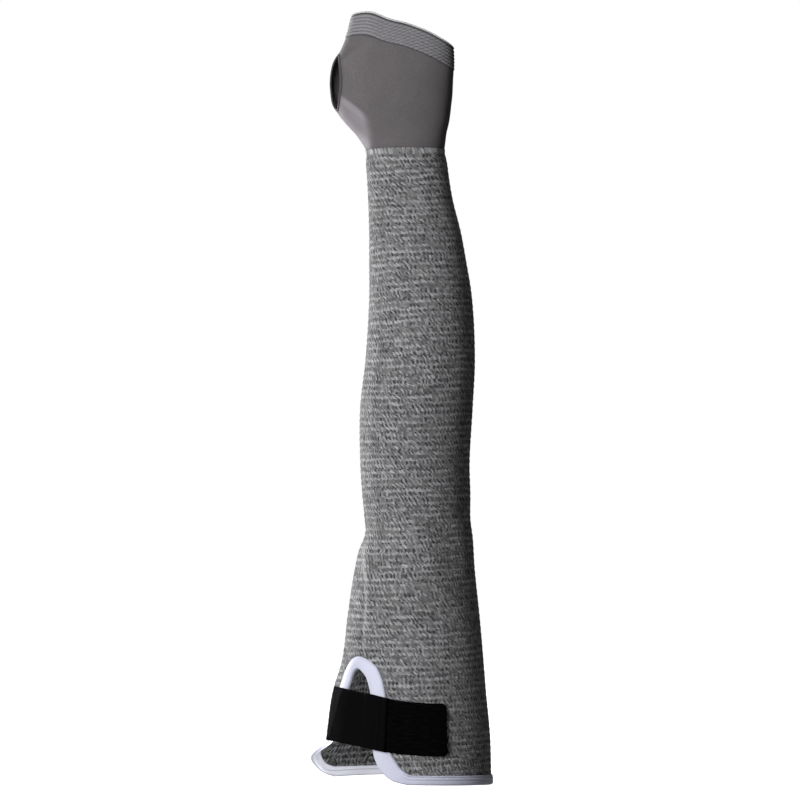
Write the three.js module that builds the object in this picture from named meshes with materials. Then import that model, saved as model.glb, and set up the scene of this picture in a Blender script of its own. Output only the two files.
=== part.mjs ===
// Cut resistant sleeve as it is worn on an arm, hand up: a marled knit arm tube, a plain knit hand
// section with a thumb hole, a ribbed finger cuff, and a bound slit at the upper arm with a strap.
// Millimetres. +Z runs up the arm to the hand, the front faces -Y, and the origin is the middle of
// the upper arm opening, level with the edge of the knit.
import * as THREE from 'three';

const degree = Math.PI / 180;

// Lengths along the arm
const tubeLength = 459; // knit edge at the upper arm to the wrist seam
const handLength = 99; // wrist seam to the highest point of the finger rim

// Girths of the hollow that the arm fills, across the front and from front to back
const armHoleWidth = 117;
const armHoleDepth = 106;
const elbowWidth = 72;
const elbowDepth = 80;
const forearmWidth = 76;
const forearmDepth = 80;
const wristWidth = 54;
const wristDepth = 43;
const thumbBaseWidth = 89.5;
const thumbBaseDepth = 44;
const knuckleWidth = 72;
const knuckleDepth = 32;

// Cloth
const tubeWall = 1.5;
const handWall = 1.2;
const cuffWall = 1.3;
const layerGap = 0.3; // free space between two layers that lie on each other
const foldDepth = 3.0; // deepest dent of the worn cloth, which the folds are shares of

// Seams and finger cuff
const wristLap = 7; // hand section inside the arm tube
const cuffHeight = 17;
const rimSlope = 25; // the rim is this much lower on the little finger's side
const ribPitch = 2.1;
const ribDepth = 0.5;

// Thumb hole
const thumbHoleWidth = 23.5;
const thumbHoleHeight = 39;
const thumbHoleRise = 48; // its middle above the wrist seam
const thumbHoleAzimuth = -79.5; // degrees from the front
const weltWidth = 1.8;
const weltThickness = 0.6;

// Slit and binding
const slitHeight = 83.5;
const hemDroop = 3; // how far the hem wanders up and down
const slitMouth = 96; // degrees of the opening's edge that the rounded mouth takes
const slitAzimuth = -47; // degrees from the front
const bindingWidth = 10;
const hemBand = 0.58; // share of bindingWidth along the straight hem
const bindingThickness = 0.9;
const bindingClear = 1.25; // binding widths from the edge to where the strap starts to come down

// Strap across the slit
const strapWidth = 38;
const strapRise = 43; // middle of the strap above the knit edge, where it crosses the slit
const strapDrop = 20; // how much lower its free end is than its sewn end
const webbingLength = 52;
const webbingThickness = 1.4;
const webbingStart = -72.5; // degrees from the front, the end sewn beside the slit
const tabLength = 48;
const tabThickness = 1.6;
const strapLap = 8.5; // webbing over tab
const climbLength = 11; // the webbing starts to rise onto the tab this far before it
const strapTautness = 0.5; // 1 pulls the strap straight across the slit, 0 lets it follow the arm
const strapSeat = 0.45; // free space under the strap on the knit, and under the webbing on the tab
const strapEase = 0.9; // free space between the strap and the binding that it crosses
const tabCorner = 4; // radius of the tab's free corners
const webbingCorner = 0.01; // the webbing is cut square
const strapCell = 5; // the strap is modelled in cells of about this length

// Levels above the form that the arm fills: inner and outer face of each layer
const handInner = 0;
const handOuter = handInner + handWall;
const tubeInner = handOuter + layerGap;
const tubeOuter = tubeInner + tubeWall;
const cuffOuter = handInner + cuffWall;

const armHole = { width: armHoleWidth, depth: armHoleDepth };
const elbow = { width: elbowWidth, depth: elbowDepth };
const forearm = { width: forearmWidth, depth: forearmDepth };
const wrist = { width: wristWidth, depth: wristDepth };
const thumbBase = { width: thumbBaseWidth, depth: thumbBaseDepth };
const knuckles = { width: knuckleWidth, depth: knuckleDepth };

// up is a share of the length, wide and deep are shares of the named girth, aside and back shift
// the middle by a share of it, and square bulges the corners
const tubeSections = [
  { up: 0.0, size: armHole, wide: 0.992, deep: 0.99, aside: 0.022, back: 0.0, square: 0.0 },
  { up: 0.072, size: armHole, wide: 0.958, deep: 0.955, aside: 0.031, back: 0.0, square: 0.0 },
  { up: 0.136, size: armHole, wide: 0.897, deep: 0.905, aside: 0.038, back: 0.004, square: 0.0 },
  { up: 0.186, size: armHole, wide: 0.829, deep: 0.86, aside: 0.056, back: 0.01, square: 0.0 },
  { up: 0.262, size: armHole, wide: 0.769, deep: 0.8, aside: 0.06, back: 0.022, square: 0.01 },
  { up: 0.338, size: elbow, wide: 1.124, deep: 1.03, aside: 0.111, back: 0.045, square: 0.01 },
  { up: 0.388, size: elbow, wide: 1.024, deep: 1.0, aside: 0.142, back: 0.058, square: 0.01 },
  { up: 0.414, size: elbow, wide: 0.993, deep: 0.99, aside: 0.136, back: 0.058, square: 0.0 },
  { up: 0.452, size: elbow, wide: 1.012, deep: 1.0, aside: 0.125, back: 0.05, square: 0.0 },
  { up: 0.502, size: forearm, wide: 0.97, deep: 0.99, aside: 0.105, back: 0.035, square: 0.0 },
  { up: 0.59, size: forearm, wide: 1.0, deep: 1.0, aside: 0.119, back: 0.01, square: 0.0 },
  { up: 0.666, size: forearm, wide: 0.97, deep: 0.955, aside: 0.155, back: -0.01, square: 0.0 },
  { up: 0.767, size: forearm, wide: 0.904, deep: 0.86, aside: 0.158, back: -0.02, square: 0.0 },
  { up: 0.818, size: forearm, wide: 0.855, deep: 0.79, aside: 0.133, back: -0.02, square: 0.01 },
  { up: 0.868, size: wrist, wide: 1.125, deep: 1.3, aside: 0.148, back: -0.03, square: 0.02 },
  { up: 0.919, size: wrist, wide: 1.03, deep: 1.14, aside: 0.087, back: -0.025, square: 0.03 },
  { up: 0.969, size: wrist, wide: 0.99, deep: 1.02, aside: 0.041, back: -0.01, square: 0.04 },
  { up: 1.0, size: wrist, wide: 1.0, deep: 1.0, aside: 0.013, back: 0.0, square: 0.05 },
];
const handSections = [
  { up: 0.09, size: wrist, wide: 1.135, deep: 1.0, aside: -0.028, back: 0.0, square: 0.06 },
  { up: 0.208, size: thumbBase, wide: 0.833, deep: 0.97, aside: -0.061, back: 0.0, square: 0.06 },
  { up: 0.325, size: thumbBase, wide: 0.944, deep: 1.0, aside: -0.1, back: 0.0, square: 0.05 },
  { up: 0.4, size: thumbBase, wide: 0.982, deep: 1.0, aside: -0.11, back: 0.0, square: 0.05 },
  { up: 0.5, size: thumbBase, wide: 1.0, deep: 0.97, aside: -0.114, back: 0.0, square: 0.05 },
  { up: 0.618, size: thumbBase, wide: 0.972, deep: 0.9, aside: -0.093, back: 0.0, square: 0.06 },
  { up: 0.735, size: knuckles, wide: 1.102, deep: 1.13, aside: -0.066, back: 0.0, square: 0.07 },
  { up: 0.85, size: knuckles, wide: 1.04, deep: 1.05, aside: -0.038, back: 0.0, square: 0.07 },
  { up: 1.0, size: knuckles, wide: 0.98, deep: 1.0, aside: -0.018, back: 0.0, square: 0.07 },
];

// Dents and ridges of the worn cloth. around and spanAround are degrees, up and spanUp are shares of
// the tube's length, lean is degrees round for each share up, and lift is a share of foldDepth.
const folds = [
  { around: 36, up: 0.36, spanAround: 20, spanUp: 0.055, lean: -260, lift: -1.0 },
  { around: 14, up: 0.335, spanAround: 13, spanUp: 0.05, lean: -300, lift: 0.35 },
  { around: -50, up: 0.275, spanAround: 12, spanUp: 0.075, lean: 20, lift: 0.5 },
  { around: -82, up: 0.392, spanAround: 26, spanUp: 0.016, lean: 0, lift: -0.45 },
  { around: -74, up: 0.36, spanAround: 22, spanUp: 0.014, lean: 60, lift: 0.25 },
  { around: 150, up: 0.4, spanAround: 42, spanUp: 0.018, lean: 40, lift: -0.6 },
  { around: 165, up: 0.44, spanAround: 38, spanUp: 0.016, lean: -50, lift: -0.45 },
  { around: -150, up: 0.3, spanAround: 20, spanUp: 0.08, lean: 90, lift: 0.4 },
  { around: -102, up: 0.03, spanAround: 26, spanUp: 0.028, lean: 0, lift: 3.6 },
  { around: -92, up: 0.13, spanAround: 20, spanUp: 0.06, lean: 0, lift: 0.45 },
];

// Edge of the slit, from its top to the straight hem. up is a share of slitHeight, right and left
// are shares of half the mouth, measured from slitAzimuth, and the bands are shares of bindingWidth.
const slitEdge = [
  { up: 1.0, right: -0.05, left: -0.05, rightBand: 0.78, leftBand: 0.78 },
  { up: 0.984, right: 0.03, left: -0.13, rightBand: 0.86, leftBand: 0.8 },
  { up: 0.93, right: 0.17, left: -0.2, rightBand: 0.98, leftBand: 0.86 },
  { up: 0.87, right: 0.255, left: -0.205, rightBand: 1.0, leftBand: 0.9 },
  { up: 0.766, right: 0.35, left: -0.24, rightBand: 1.0, leftBand: 0.88 },
  { up: 0.628, right: 0.405, left: -0.3, rightBand: 1.0, leftBand: 0.86 },
  { up: 0.471, right: 0.42, left: -0.375, rightBand: 1.02, leftBand: 0.85 },
  { up: 0.38, right: 0.435, left: -0.45, rightBand: 1.03, leftBand: 0.85 },
  { up: 0.324, right: 0.445, left: -0.585, rightBand: 1.04, leftBand: 0.84 },
  { up: 0.27, right: 0.472, left: -0.775, rightBand: 1.05, leftBand: 0.83 },
  { up: 0.196, right: 0.515, left: -1.0, rightBand: 1.06, leftBand: 0.82 },
  { up: 0.098, right: 0.625, left: -1.2, rightBand: 1.08, leftBand: 0.76 },
  { up: 0.03, right: 0.78, left: -1.34, rightBand: 0.92, leftBand: 0.66 },
  { up: 0.0, right: 0.98, left: -1.52, rightBand: 0.62, leftBand: 0.58 },
];

// Height of the hem round the arm: around is degrees from the front, rise a share of hemDroop
const hemLine = [
  { around: -180, rise: 0.3 },
  { around: -120, rise: 0.4 },
  { around: -60, rise: 0.6 },
  { around: 0, rise: 0.65 },
  { around: 50, rise: 0.1 },
  { around: 90, rise: -0.55 },
  { around: 130, rise: -0.2 },
  { around: 180, rise: 0.3 },
];

// Drop of the finger rim across the hand: across runs from -1 at the thumb's side to 1
const rimDrops = [
  { across: -1.0, drop: 0.06 },
  { across: -0.8, drop: 0.0 },
  { across: -0.6, drop: 0.0 },
  { across: -0.25, drop: 0.2 },
  { across: 0.15, drop: 0.35 },
  { across: 0.5, drop: 0.56 },
  { across: 0.72, drop: 0.75 },
  { across: 1.0, drop: 1.0 },
];

// Middle line of the strap: around is degrees from the front, fall a share of strapDrop
const strapLine = [
  { around: -90, fall: -0.31 },
  { around: -60, fall: -0.27 },
  { around: -30, fall: -0.13 },
  { around: -10, fall: 0.04 },
  { around: 12, fall: 0.14 },
  { around: 45, fall: 0.17 },
];

// A smooth value between the rows of a table, held level past its ends
function readTable(rows, key, columns) {
  const at = rows.map((row) => row[key]);
  const values = rows.flatMap((row) => columns.map((column) => row[column]));
  const curve = new THREE.CubicInterpolant(at, values, columns.length);
  return (where) => {
    const inside = THREE.MathUtils.clamp(where, at[0], at[at.length - 1]);
    const found = curve.evaluate(inside);
    return Object.fromEntries(columns.map((column, i) => [column, found[i]]));
  };
}

// Sizes of one section in millimetres, from its row of shares
function sectionSizes(row, base, length) {
  return {
    z: base + row.up * length,
    middleX: row.aside * row.size.width,
    middleY: row.back * row.size.depth,
    halfWidth: (row.wide * row.size.width) / 2,
    halfDepth: (row.deep * row.size.depth) / 2,
    square: row.square,
  };
}

const sectionAt = readTable(
  [
    ...tubeSections.map((row) => sectionSizes(row, 0, tubeLength)),
    ...handSections.map((row) => sectionSizes(row, tubeLength, handLength)),
  ],
  'z',
  ['middleX', 'middleY', 'halfWidth', 'halfDepth', 'square'],
);

// Shortest turn from one azimuth to another, in radians
function turnBetween(from, to) {
  return Math.atan2(Math.sin(to - from), Math.cos(to - from));
}

function foldLift(azimuth, z) {
  const up = z / tubeLength;
  return folds.reduce((sum, fold) => {
    const above = up - fold.up;
    const round = turnBetween((fold.around + fold.lean * above) * degree, azimuth);
    const reach = (round / (fold.spanAround * degree)) ** 2 + (above / fold.spanUp) ** 2;
    return sum + fold.lift * foldDepth * Math.exp(-reach);
  }, 0);
}

// The form that the arm fills, without folds
function armForm(azimuth, z) {
  const s = sectionAt(z);
  const corner = 1 + s.square * Math.sin(2 * azimuth) ** 2;
  return new THREE.Vector3(
    s.middleX + s.halfWidth * corner * Math.sin(azimuth),
    s.middleY - s.halfDepth * corner * Math.cos(azimuth),
    z,
  );
}

function formNormal(azimuth, z) {
  const step = 0.5;
  const turn = 0.01;
  const along = armForm(azimuth, z + step).sub(armForm(azimuth, z - step));
  const round = armForm(azimuth + turn, z).sub(armForm(azimuth - turn, z));
  return round.cross(along).normalize();
}

// A point of the cloth, at a level above the arm's form
function clothPoint(azimuth, z, level) {
  const lift = level + foldLift(azimuth, z);
  return armForm(azimuth, z).addScaledVector(formNormal(azimuth, z), lift);
}

// Millimetres of cloth for each radian round the tube at a height
function roundScale(azimuth, z) {
  const turn = 0.02;
  return armForm(azimuth + turn, z).distanceTo(armForm(azimuth - turn, z)) / (2 * turn);
}

// A closed shell between an outer and an inner grid of points. Rows run up, columns run round, and
// isHole says which cells are left open.
function shellGeometry(outer, inner, isHole = () => false) {
  const rows = outer.length;
  const columns = outer[0].length;
  const points = [...outer.flat(), ...inner.flat()];
  const faces = [];
  const out = (j, i) => j * columns + ((i + columns) % columns);
  const inn = (j, i) => rows * columns + out(j, i);
  const quad = (a, b, c, d) => faces.push(a, b, c, a, c, d);
  for (let j = 0; j < rows - 1; j++) {
    for (let i = 0; i < columns; i++) {
      if (isHole(j, i)) continue;
      quad(out(j, i), out(j, i + 1), out(j + 1, i + 1), out(j + 1, i));
      quad(inn(j, i + 1), inn(j, i), inn(j + 1, i), inn(j + 1, i + 1));
      const left = (i + columns - 1) % columns;
      if (j === 0 || isHole(j - 1, i)) quad(out(j, i + 1), out(j, i), inn(j, i), inn(j, i + 1));
      if (j === rows - 2 || isHole(j + 1, i)) {
        quad(out(j + 1, i), out(j + 1, i + 1), inn(j + 1, i + 1), inn(j + 1, i));
      }
      if (isHole(j, left)) quad(out(j, i), out(j + 1, i), inn(j + 1, i), inn(j, i));
      if (isHole(j, (i + 1) % columns)) {
        quad(out(j + 1, i + 1), out(j, i + 1), inn(j, i + 1), inn(j + 1, i + 1));
      }
    }
  }
  return indexedGeometry(points, faces);
}

// A band: one closed section of points carried round a closed edge
function bandGeometry(sections) {
  const count = sections.length;
  const size = sections[0].length;
  const faces = [];
  const at = (i, k) => (i % count) * size + (k % size);
  for (let i = 0; i < count; i++) {
    for (let k = 0; k < size; k++) {
      faces.push(at(i, k), at(i + 1, k + 1), at(i + 1, k));
      faces.push(at(i, k), at(i, k + 1), at(i + 1, k + 1));
    }
  }
  return indexedGeometry(sections.flat(), faces);
}

// A slab between an outer and an inner grid of points, closed on all four edges
function slabGeometry(outer, inner) {
  const rows = outer.length;
  const columns = outer[0].length;
  const faces = [];
  const out = (j, i) => j * columns + i;
  const inn = (j, i) => (rows + j) * columns + i;
  const quad = (a, b, c, d) => faces.push(a, b, c, a, c, d);
  for (let j = 0; j < rows - 1; j++) {
    for (let i = 0; i < columns - 1; i++) {
      quad(out(j, i), out(j, i + 1), out(j + 1, i + 1), out(j + 1, i));
      quad(inn(j, i + 1), inn(j, i), inn(j + 1, i), inn(j + 1, i + 1));
    }
  }
  for (let i = 0; i < columns - 1; i++) {
    quad(out(0, i + 1), out(0, i), inn(0, i), inn(0, i + 1));
    quad(out(rows - 1, i), out(rows - 1, i + 1), inn(rows - 1, i + 1), inn(rows - 1, i));
  }
  for (let j = 0; j < rows - 1; j++) {
    quad(out(j, 0), out(j + 1, 0), inn(j + 1, 0), inn(j, 0));
    quad(out(j + 1, columns - 1), out(j, columns - 1), inn(j, columns - 1), inn(j + 1, columns - 1));
  }
  return indexedGeometry([...outer.flat(), ...inner.flat()], faces);
}

function indexedGeometry(points, faces) {
  const geometry = new THREE.BufferGeometry().setFromPoints(points);
  geometry.setIndex(faces);
  geometry.computeVertexNormals();
  return geometry;
}

function namedMesh(name, geometry, color, roughness) {
  const material = new THREE.MeshStandardMaterial({ color, roughness, metalness: 0 });
  const mesh = new THREE.Mesh(geometry, material);
  mesh.name = name;
  return mesh;
}

// Edge of the arm tube: points of { azimuth, z } from the hem, up over the slit and on round the
// hem, with the azimuth always growing
const slitSamples = 13; // on each side of the slit
const hemSamples = 20;
const halfMouth = (slitMouth / 2) * degree;

const hemAt = readTable(hemLine, 'around', ['rise']);

function hemHeight(azimuth) {
  return hemDroop * hemAt(turnBetween(0, azimuth) / degree).rise;
}

function slitSide(side) {
  const points = slitEdge.map((row) => {
    const azimuth = slitAzimuth * degree + row[side] * halfMouth;
    const z = row.up * slitHeight + (1 - row.up) * hemHeight(azimuth);
    return new THREE.Vector3(azimuth, z, row[`${side}Band`] * bindingWidth);
  });
  const along = new THREE.CatmullRomCurve3(points).getPoints(slitSamples);
  return along.map((p) => ({ azimuth: p.x, z: p.y, band: p.z }));
}

const rightSide = slitSide('right');
const leftSide = slitSide('left');

function tubeEdge() {
  const start = rightSide[rightSide.length - 1].azimuth;
  const end = leftSide[leftSide.length - 1].azimuth + 2 * Math.PI;
  const hem = [];
  for (let i = 1; i < hemSamples; i++) {
    const azimuth = start + ((end - start) * i) / hemSamples;
    hem.push({ azimuth, z: hemHeight(azimuth), band: hemBand * bindingWidth });
  }
  return [...leftSide.slice(1).reverse(), ...rightSide, ...hem];
}

const edge = tubeEdge();
const edgeScale = roundScale(slitAzimuth * degree, slitHeight / 2);

// Direction into the cloth at a point of the edge, as a turn and a rise for each millimetre
function intoCloth(i) {
  const count = edge.length;
  const wrap = (k) => {
    const turns = Math.floor(k / count);
    return { azimuth: edge[k - turns * count].azimuth + turns * 2 * Math.PI, z: edge[k - turns * count].z };
  };
  const before = wrap(i - 1);
  const after = wrap(i + 1);
  const round = (after.azimuth - before.azimuth) * edgeScale;
  const rise = after.z - before.z;
  const long = Math.hypot(round, rise);
  return { turn: -rise / long / edgeScale, rise: round / long };
}

const inward = edge.map((point, i) => intoCloth(i));

// A point of the cloth that lies a distance inside the edge
function besideEdge(i, distance) {
  return {
    azimuth: edge[i].azimuth + inward[i].turn * distance,
    z: edge[i].z + inward[i].rise * distance,
  };
}

// Heights and azimuths of the arm tube's grid: rows beside the edge, rows that fan out round the
// slit to a level ring, and level rings up to the wrist
function tubeGrid() {
  const bindingRows = 2;
  const fanRows = 6;
  const ringRows = 19;
  const ringClear = 2.6; // binding widths from the slit's top to the first level ring
  const crowding = 1.3; // above 1, the rows are closer near the edge
  const top = leftSide.length - 1;
  const count = edge.length;
  const ringStart = slitHeight + ringClear * bindingWidth;
  const ringAzimuth = (i) => {
    const even = edge[top].azimuth + ((i - top) * 2 * Math.PI) / count;
    return (edge[i].azimuth + even) / 2;
  };
  const rows = [];
  for (let j = 0; j <= bindingRows; j++) {
    rows.push(edge.map((point, i) => besideEdge(i, (point.band * j) / bindingRows)));
  }
  for (let j = 1; j <= fanRows; j++) {
    const share = (j / fanRows) ** crowding;
    rows.push(
      edge.map((point, i) => {
        const from = besideEdge(i, point.band);
        return {
          azimuth: THREE.MathUtils.lerp(from.azimuth, ringAzimuth(i), share),
          z: THREE.MathUtils.lerp(from.z, ringStart, share),
        };
      }),
    );
  }
  for (let j = 1; j <= ringRows; j++) {
    const z = THREE.MathUtils.lerp(ringStart, tubeLength, j / ringRows);
    rows.push(edge.map((point, i) => ({ azimuth: ringAzimuth(i), z })));
  }
  return rows;
}

function onCloth(grid, level) {
  return grid.map((row) => row.map((at) => clothPoint(at.azimuth, at.z, level)));
}

function armTube() {
  const grid = tubeGrid();
  const geometry = shellGeometry(onCloth(grid, tubeOuter), onCloth(grid, tubeInner));
  return namedMesh('arm_tube', geometry, 0x6c6c6f, 0.9);
}

// Section of a binding folded over an edge of cloth: pairs of distance inside the edge and level.
// It runs from the outer flange round the fold to the inner flange and back.
function foldedSection(inner, outer, width, thickness) {
  const top = outer + layerGap;
  const bottom = inner - layerGap;
  const middle = (inner + outer) / 2;
  const half = (top - bottom) / 2 + thickness;
  const steps = 4;
  const section = [
    [width, top],
    [width, top + thickness],
    [width / 2, top + thickness],
  ];
  for (let k = 0; k <= steps; k++) {
    const turn = (k / steps) * Math.PI;
    section.push([-(layerGap + thickness) * Math.sin(turn), middle + half * Math.cos(turn)]);
  }
  section.push([width / 2, bottom - thickness], [width, bottom - thickness], [width, bottom]);
  section.push([width / 2, bottom], [-layerGap, bottom], [-layerGap, top], [width / 2, top]);
  return section;
}

function hemBinding() {
  const bands = edge.map((point, i) =>
    foldedSection(tubeInner, tubeOuter, point.band, bindingThickness).map(([distance, level]) => {
      const at = besideEdge(i, distance);
      return clothPoint(at.azimuth, at.z, level);
    }),
  );
  return namedMesh('hem_binding', bandGeometry(bands), 0xe2e2f0, 0.75);
}

const rimAt = readTable(rimDrops, 'across', ['drop']);

function rimHeight(azimuth) {
  return tubeLength + handLength - rimSlope * rimAt(Math.sin(azimuth)).drop;
}

// Thumb hole in the hand section: a block of grid cells whose rim is moved onto an ellipse
const handColumns = 40;
const handRows = 15;
const holeReach = 3; // cells from the middle of the block to its rim
const holeZ = tubeLength + thumbHoleRise;
const holeAzimuth = thumbHoleAzimuth * degree;
const holeScale = roundScale(holeAzimuth, holeZ);

// A point beside the thumb hole, by its turn round the hole and its distance outside the edge
function besideHole(turn, distance) {
  return {
    azimuth: holeAzimuth + ((thumbHoleWidth / 2 + distance) * Math.cos(turn)) / holeScale,
    z: holeZ + (thumbHoleHeight / 2 + distance) * Math.sin(turn),
  };
}

const handBottom = tubeLength - wristLap;
const handTop = (azimuth) => rimHeight(azimuth) - cuffHeight - layerGap;
const holeRow = Math.round(
  ((holeZ - handBottom) / (handTop(holeAzimuth) - handBottom)) * (handRows - 1),
);

function handGridPoint(j, i) {
  const turns = i > handColumns / 2 ? i - handColumns : i;
  const azimuth = holeAzimuth + (turns * 2 * Math.PI) / handColumns;
  const share = j / (handRows - 1);
  const plain = { azimuth, z: THREE.MathUtils.lerp(handBottom, handTop(azimuth), share) };
  const ring = Math.max(Math.abs(turns), Math.abs(j - holeRow));
  if (ring < holeReach || j === 0 || j === handRows - 1) return plain;
  const turn = Math.atan2(j - holeRow, turns);
  const distance = (ring - holeReach) * (weltWidth + layerGap);
  const near = besideHole(turn, distance);
  const away = THREE.MathUtils.smoothstep(ring, holeReach + 1, holeReach + 3);
  return {
    azimuth: THREE.MathUtils.lerp(near.azimuth, plain.azimuth, away),
    z: THREE.MathUtils.lerp(near.z, plain.z, away),
  };
}

function handTube() {
  const grid = [];
  for (let j = 0; j < handRows; j++) {
    grid.push(Array.from({ length: handColumns }, (unused, i) => handGridPoint(j, i)));
  }
  const isHole = (j, i) => {
    const turns = i >= handColumns / 2 ? i - handColumns : i;
    const inRows = j >= holeRow - holeReach && j < holeRow + holeReach;
    return inRows && turns >= -holeReach && turns < holeReach;
  };
  const geometry = shellGeometry(onCloth(grid, handOuter), onCloth(grid, handInner), isHole);
  return namedMesh('hand_tube', geometry, 0x645f61, 0.85);
}

// Turns of the grid's corners on the rim of the thumb hole, clockwise as seen from outside
function rimTurns() {
  const turns = [];
  for (let j = -holeReach; j <= holeReach; j++) {
    for (let i = -holeReach; i <= holeReach; i++) {
      if (Math.max(Math.abs(i), Math.abs(j)) === holeReach) turns.push(Math.atan2(j, i));
    }
  }
  return turns.sort((a, b) => b - a);
}

function thumbWelt() {
  const section = foldedSection(handInner, handOuter, weltWidth, weltThickness);
  const bands = rimTurns().map((turn) =>
    section.map(([distance, level]) => {
      const at = besideHole(turn, distance);
      return clothPoint(at.azimuth, at.z, level);
    }),
  );
  return namedMesh('thumb_welt', bandGeometry(bands), 0x57534f, 0.85);
}

// Ribbed finger cuff: knitted courses that stand up as ribs, under a rolled rim. The profile runs
// from the rim down the outside and up the inside.
function fingerCuff() {
  const rim = ribPitch;
  const ribs = Math.max(2, Math.round((cuffHeight - rim) / ribPitch));
  const profile = [
    { below: 0, level: handInner },
    { below: 0, level: cuffOuter + ribDepth / 2 },
    { below: rim / 2, level: cuffOuter + ribDepth },
  ];
  for (let k = 0; k <= 2 * ribs; k++) {
    const below = rim + ((cuffHeight - rim) * k) / (2 * ribs);
    profile.push({ below, level: cuffOuter + (k % 2 ? ribDepth : 0) });
  }
  profile.push({ below: cuffHeight, level: handInner }, { below: cuffHeight / 2, level: handInner });
  const bands = Array.from({ length: handColumns }, (unused, i) => {
    const azimuth = holeAzimuth + (i * 2 * Math.PI) / handColumns;
    return profile.map((row) => clothPoint(azimuth, rimHeight(azimuth) - row.below, row.level));
  });
  return namedMesh('finger_cuff', bandGeometry(bands), 0x8b8b92, 0.85);
}

// Azimuth of one side of the slit at a height, or the slit's top above it
function sideAzimuth(side, z) {
  for (let k = 1; k < side.length; k++) {
    if (z >= side[k].z) {
      const share = (z - side[k].z) / (side[k - 1].z - side[k].z || 1);
      return THREE.MathUtils.lerp(side[k].azimuth, side[k - 1].azimuth, Math.min(share, 1));
    }
  }
  return side[side.length - 1].azimuth;
}

// Distance along the cloth from a point to the edge of the tube
function edgeDistance(azimuth, z) {
  const distances = edge.map((point) =>
    Math.hypot(turnBetween(point.azimuth, azimuth) * edgeScale, point.z - z),
  );
  return Math.min(...distances);
}

// Level that the strap lies on: the knit, the binding, or the straight line across the slit
function strapBed(azimuth, z) {
  const onKnit = tubeOuter + strapSeat;
  const onBinding = tubeOuter + layerGap + bindingThickness + strapEase;
  const left = sideAzimuth(leftSide, z);
  const right = sideAzimuth(rightSide, z);
  if (z < slitHeight && azimuth > left && azimuth < right) {
    const from = clothPoint(left, z, onBinding);
    const to = clothPoint(right, z, onBinding);
    const foot = clothPoint(azimuth, z, 0);
    const across = new THREE.Vector3(to.y - from.y, from.x - to.x, 0);
    const straight = from.sub(foot).dot(across) / formNormal(azimuth, z).dot(across);
    return THREE.MathUtils.lerp(onBinding, straight, strapTautness);
  }
  const clear = bindingWidth * bindingClear;
  const past = THREE.MathUtils.smoothstep(edgeDistance(azimuth, z), clear, clear + bindingWidth);
  return THREE.MathUtils.lerp(onBinding, onKnit, past);
}

const strapFall = readTable(strapLine, 'around', ['fall']);
const strapScale = roundScale(slitAzimuth * degree, strapRise);
const webbingEnd = webbingStart * degree + webbingLength / strapScale;
const tabStart = webbingEnd - strapLap / strapScale;
const tabEnd = tabStart + tabLength / strapScale;

// A strip of the strap between two azimuths. lift raises it above its bed, and rounded is the
// radius of its free corners.
function strapStrip(start, end, thickness, lift, rounded) {
  const steps = Math.ceil(((end - start) * strapScale) / strapCell);
  const rows = 6;
  const grid = (level) =>
    Array.from({ length: rows + 1 }, (unusedRow, j) =>
      Array.from({ length: steps + 1 }, (unusedStep, i) => {
        const azimuth = THREE.MathUtils.lerp(start, end, i / steps);
        const fromEnd = Math.min(rounded, (end - azimuth) * strapScale);
        const corner = rounded - Math.sqrt(rounded ** 2 - (rounded - fromEnd) ** 2);
        const middle = strapRise - strapDrop * strapFall(azimuth / degree).fall;
        const z = middle + (strapWidth / 2 - corner) * ((2 * j) / rows - 1);
        return clothPoint(azimuth, z, strapBed(azimuth, z) + lift(azimuth) + level);
      }),
    );
  return slabGeometry(grid(thickness), grid(0));
}

function strapWebbing() {
  const climbStart = tabStart - climbLength / strapScale;
  const climbEnd = tabStart - climbLength / 2 / strapScale;
  const onTab = tabThickness + strapSeat;
  const lift = (azimuth) => onTab * THREE.MathUtils.smoothstep(azimuth, climbStart, climbEnd);
  const start = webbingStart * degree;
  const geometry = strapStrip(start, webbingEnd, webbingThickness, lift, webbingCorner);
  return namedMesh('strap_webbing', geometry, 0x0c0c0e, 0.8);
}

function strapTab() {
  const geometry = strapStrip(tabStart, tabEnd, tabThickness, () => 0, tabCorner);
  return namedMesh('strap_tab', geometry, 0x08080a, 0.95);
}

const sleeve = new THREE.Group();
sleeve.name = 'cut_resistant_sleeve';
sleeve.add(armTube(), handTube(), fingerCuff(), thumbWelt(), hemBinding(), strapWebbing(), strapTab());

export default sleeve;
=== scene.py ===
import math

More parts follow.
